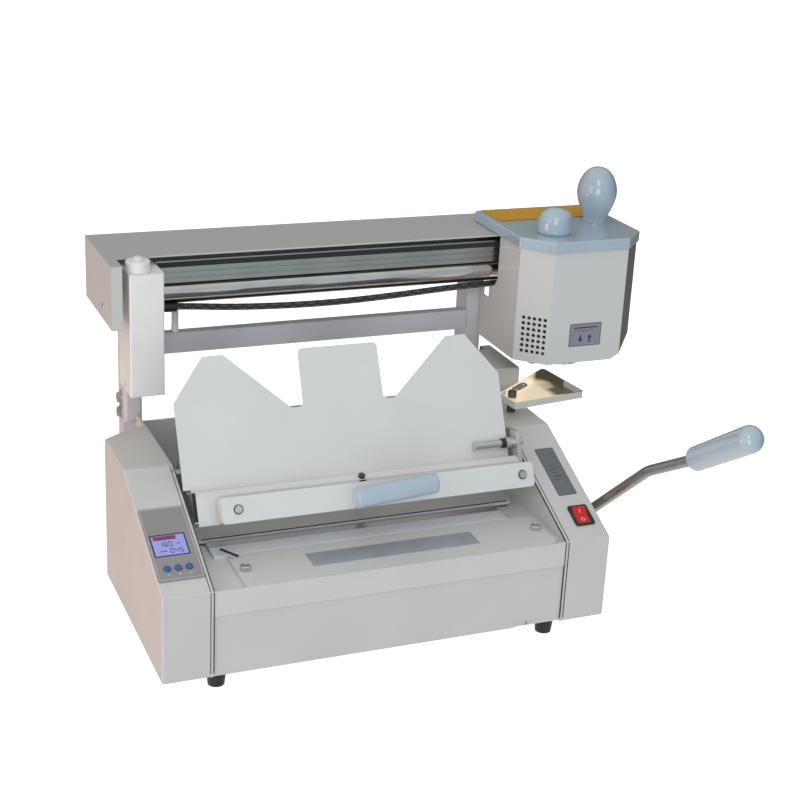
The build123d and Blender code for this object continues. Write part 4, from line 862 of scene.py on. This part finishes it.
# %% Braided sleeve around the line
STEP = 0.001
stations, walked, target = [], 0.0, 0.0
for a, b in zip(line, line[1:]):
    stretch = (b - a).length
    while target <= walked + stretch:
        stations.append(a.lerp(b, (target - walked) / stretch))
        target += STEP
    walked += stretch
sleeve = bmesh.new()
AROUND, LOBES, PITCH = 32, 8, 16.0
SLEEVE_RADIUS, STRAND_RISE = 0.00385, 0.0003
rows = []
for index, middle in enumerate(stations):
    ahead = stations[min(index + 1, len(stations) - 1)] - stations[max(index - 1, 0)]
    level = Vector((0, 1, 0))
    upward = ahead.normalized().cross(level).normalized() * -1
    row = []
    for i in range(AROUND):
        angle = 2 * math.pi * i / AROUND
        turn = 2 * math.pi * index / PITCH
        over = max(math.sin(LOBES * angle + turn), math.sin(LOBES * angle - turn))
        radius = SLEEVE_RADIUS + STRAND_RISE * over
        row.append(sleeve.verts.new(middle + (level * math.cos(angle) + upward * math.sin(angle)) * radius))
    rows.append(row)
for index, (near, far) in enumerate(zip(rows, rows[1:])):
    for i in range(AROUND):
        face = sleeve.faces.new((near[i], near[(i + 1) % AROUND], far[(i + 1) % AROUND], far[i]))
        phase = LOBES * (i + 0.5) / AROUND
        wind = (index + 0.5) / PITCH
        face.material_index = int(math.floor(phase + wind) + math.floor(phase - wind)) % 3 == 0
sleeve.faces.new(rows[0])
sleeve.faces.new(list(reversed(rows[-1])))
bmesh.ops.recalc_face_normals(sleeve, faces=sleeve.faces)
sleeve_mesh = bpy.data.meshes.new("braided_cable")
sleeve.to_mesh(sleeve_mesh)
sleeve.free()
braid_fleck = moulding("braid_fleck", tone(104, 98, 86), 0.55, 900, 0.00004)
sleeve_mesh.materials.append(black_braid)
sleeve_mesh.materials.append(braid_fleck)
sleeve_mesh.shade_smooth()
braided_cable = bpy.data.objects.new("braided_cable", sleeve_mesh)
bpy.context.collection.objects.link(braided_cable)
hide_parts("head_cable")
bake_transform(braided_cable)
print("sleeve rings:", len(stations))

# %% [markdown]
# ## The clamp screw
# The clamp closes with a trapezoid thread of 8 mm pitch, so one turn of the grip moves the bar by 8 mm.
# The thread is a stack of rings whose radius follows the turn of the screw.

# %% Thread, shank and collar
SCREW_PITCH = 8.0
ROD_RISE = -27.5
screw_place = on_clamp(12.0, ROD_RISE, 0)
screw = bmesh.new()
thread_rings = []
height = -38.0
while height < 45.6:
    outline = []
    for i in range(48):
        angle = 2 * math.pi * i / 48
        wave = (height / SCREW_PITCH - i / 48) % 1.0
        crest = min(1.0, max(0.0, 2.5 - abs(wave - 0.5) * 8))
        radius = (5.0 + 0.98 * crest) * (0.9 if height < -37.0 else 1.0)
        outline.append(Vector((radius * math.cos(angle), radius * math.sin(angle), height)))
    thread_rings.append(outline)
    height += 0.5
add_stack(screw, thread_rings)
shank = (
    (5.98, 45.5),
    (5.98, 46.4),
    (9.6, 46.4),
    (10.0, 46.8),
    (10.0, 50.9),
    (9.6, 51.3),
    (5.98, 51.3),
    (5.98, 81.9),
)
add_stack(screw, [ring(radius, z) for radius, z in shank])
screw_piece = put("screw_thread", screw, screw_place, bright_steel, "screw")
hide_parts("clamp_screw")
print("thread rings:", len(thread_rings))

# %% [markdown]
# A washer spreads the load of each hexagon head. The washers are turned rings with a broken edge; the two on
# the clamp bar are blackened. A dark hexagon nut sits on the sloping edge of the rear jaw.


# %% Washers under the hexagon heads, and a nut
def washer(name, place, bore, outside, thickness, finish, body):
    """A flat ring with a broken outer edge."""
    rings = [
        ring(bore, 0), ring(outside, 0), ring(outside, thickness - 0.3),
        ring(outside - 0.3, thickness), ring(bore, thickness), ring(bore, 0),
    ]
    return stack(name, rings, place, finish, body, (False, False))


BAR_FACE = 46.0
for number, x in enumerate((-163.0, 188.0)):
    place = on_clamp(x, ROD_RISE, BAR_FACE)
    washer(f"bar_washer_{number}", place, 4.6, 5.6, 0.5, black_plastic, "clamp_bar")
for number, (face_x, outward) in enumerate(((-229.0, -1), (248.7, 1))):
    for row, bolt_z in enumerate((178.0, 197.0)):
        place = stand((face_x, 360, bolt_z), (0, 1, 0), (outward, 0, 0))
        washer(f"post_washer_{number}_{row}", place, 6.0, 9.0, 1.4, zinc_steel, "base")
nut_outline = ((4.4, 0), (4.4, 3.0), (4.0, 3.4), (2.6, 3.4), (2.6, 4.6), (2.2, 5.0))
nut_rings = [ring(radius, z, 6) for radius, z in nut_outline]
nut_place = on_clamp(-4.0, -7.2, 17.2) @ Matrix.Rotation(math.radians(-45), 4, "X")
stack("jaw_nut", nut_rings, nut_place, motor_metal, "clamp")
print("six washers and a nut")

# %% [markdown]
# ## Thumb-screws and frame screws
# A thumb-screw is turned from bar and knurled, so that fingers grip it: its outline is a circle with teeth.
# A frame screw has a low dome with a cross cut into it. The cross is made by sinking the points of the dome's
# rings that lie near the two arms.


# %% Knurled thumb-screws
def knurled(radius, z, depth, points=72):
    """A round outline with teeth of a depth."""
    outline = []
    for i in range(points):
        angle, reach = 2 * math.pi * i / points, radius - depth * (i % 2)
        outline.append(Vector((reach * math.cos(angle), reach * math.sin(angle), z)))
    return outline


THUMB_OUTLINE = (
    (5.6, 0.0, 0),
    (5.6, 0.5, 0),
    (6.0, 0.8, 0.35),
    (6.0, 5.0, 0.35),
    (5.5, 5.4, 0),
    (4.2, 5.9, 0),
    (3.4, 5.9, 0),
    (3.2, 5.5, 0),
)
thumbs = bmesh.new()
for x, y in ((-165.5, 41.0), (193.0, 43.0)):
    rings = [knurled(*level) for level in THUMB_OUTLINE]
    add_stack(thumbs, [[point + Vector((x, y, 0)) for point in outline] for outline in rings])
thumb_place = stand((0, 0, 104.0), RIGHT, UP)
thumb_piece = put("thumb_pair", thumbs, thumb_place, bright_steel, "base")
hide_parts("thumb_screws")
print("thumb-screw 12 mm wide")


# %% Domed screws with a cross
DOME_SHARES = (1.0, 1.0, 0.93, 0.8, 0.62, 0.5, 0.34, 0.2, 0.08)
DOME_LIFTS = (0.0, 0.35, 0.62, 0.8, 0.92, 0.95, 0.98, 1.0, 1.0)


def cross_rings(radius, rise, turn=0.0, points=64):
    """The rings of a low dome with a cross sunk into its top."""
    rings = []
    for share, lift in zip(DOME_SHARES, DOME_LIFTS):
        outline = []
        for i in range(points):
            angle = 2 * math.pi * i / points
            x, y = share * radius * math.cos(angle), share * radius * math.sin(angle)
            u, v = x * math.cos(turn) + y * math.sin(turn), y * math.cos(turn) - x * math.sin(turn)
            in_slot = share < 0.55 and min(abs(u), abs(v)) < 0.13 * radius
            outline.append(Vector((x, y, rise * lift - (0.45 * rise if in_slot else 0))))
        rings.append(outline)
    return rings


screws = bmesh.new()
screw_spots = [
    ((-261.0, 303.0, 334.0), (-1, 0, 0), 4.5, 2.5),
    ((-220.0, 290.0, 233.0), (0, 0, -1), 4.0, 2.5),
    ((168.0, 4.0, 3.2), FRONT, 2.6, 2.0),
]
for x in (-200.0, -60.0, 80.0, 200.0):
    for z in (14.0, 150.0):
        screw_spots.append(((x, 342.0, z), (0, 1, 0), 4.0, 2.4))
for number, (spot, way, radius, rise) in enumerate(screw_spots):
    place = stand(spot, UP if way[2] == 0 else RIGHT, way)
    rings = cross_rings(radius, rise, 0.4 * number)
    add_stack(screws, [[(place @ (point / 1000)) * 1000 for point in outline] for outline in rings])
screw_set = put("cross_screws", screws, Matrix.Identity(4), bright_steel, "base")
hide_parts("frame_screws")
print("screws:", len(screw_spots))

# %% [markdown]
# ## Chip tray
# The tray hangs on a swivel pin and is held by a flat steel lug with a round end. A small round-headed screw
# holds the lug.

# %% Lug on the tray
lug_place = stand((258.0, 236.0, 207.2), (0.82, 0.57, 0), UP)
lug_outline = rounded(30.0, 11.0, 5.4, 0, 10)
lug = [[Vector((p.x, p.y, z)) for p in lug_outline] for z in (0, 1.4)]
lug.append([Vector((p.x * 0.975, p.y * 0.94, 1.8)) for p in lug_outline])
stack("tray_lug", lug, lug_place, zinc_steel, "chip_tray")
lug_screw = stand((266.0, 241.6, 209.0), RIGHT, UP)
stack("lug_screw", cross_rings(3.0, 1.8, 0.5), lug_screw, bright_steel, "chip_tray")
print("lug 30 mm long")
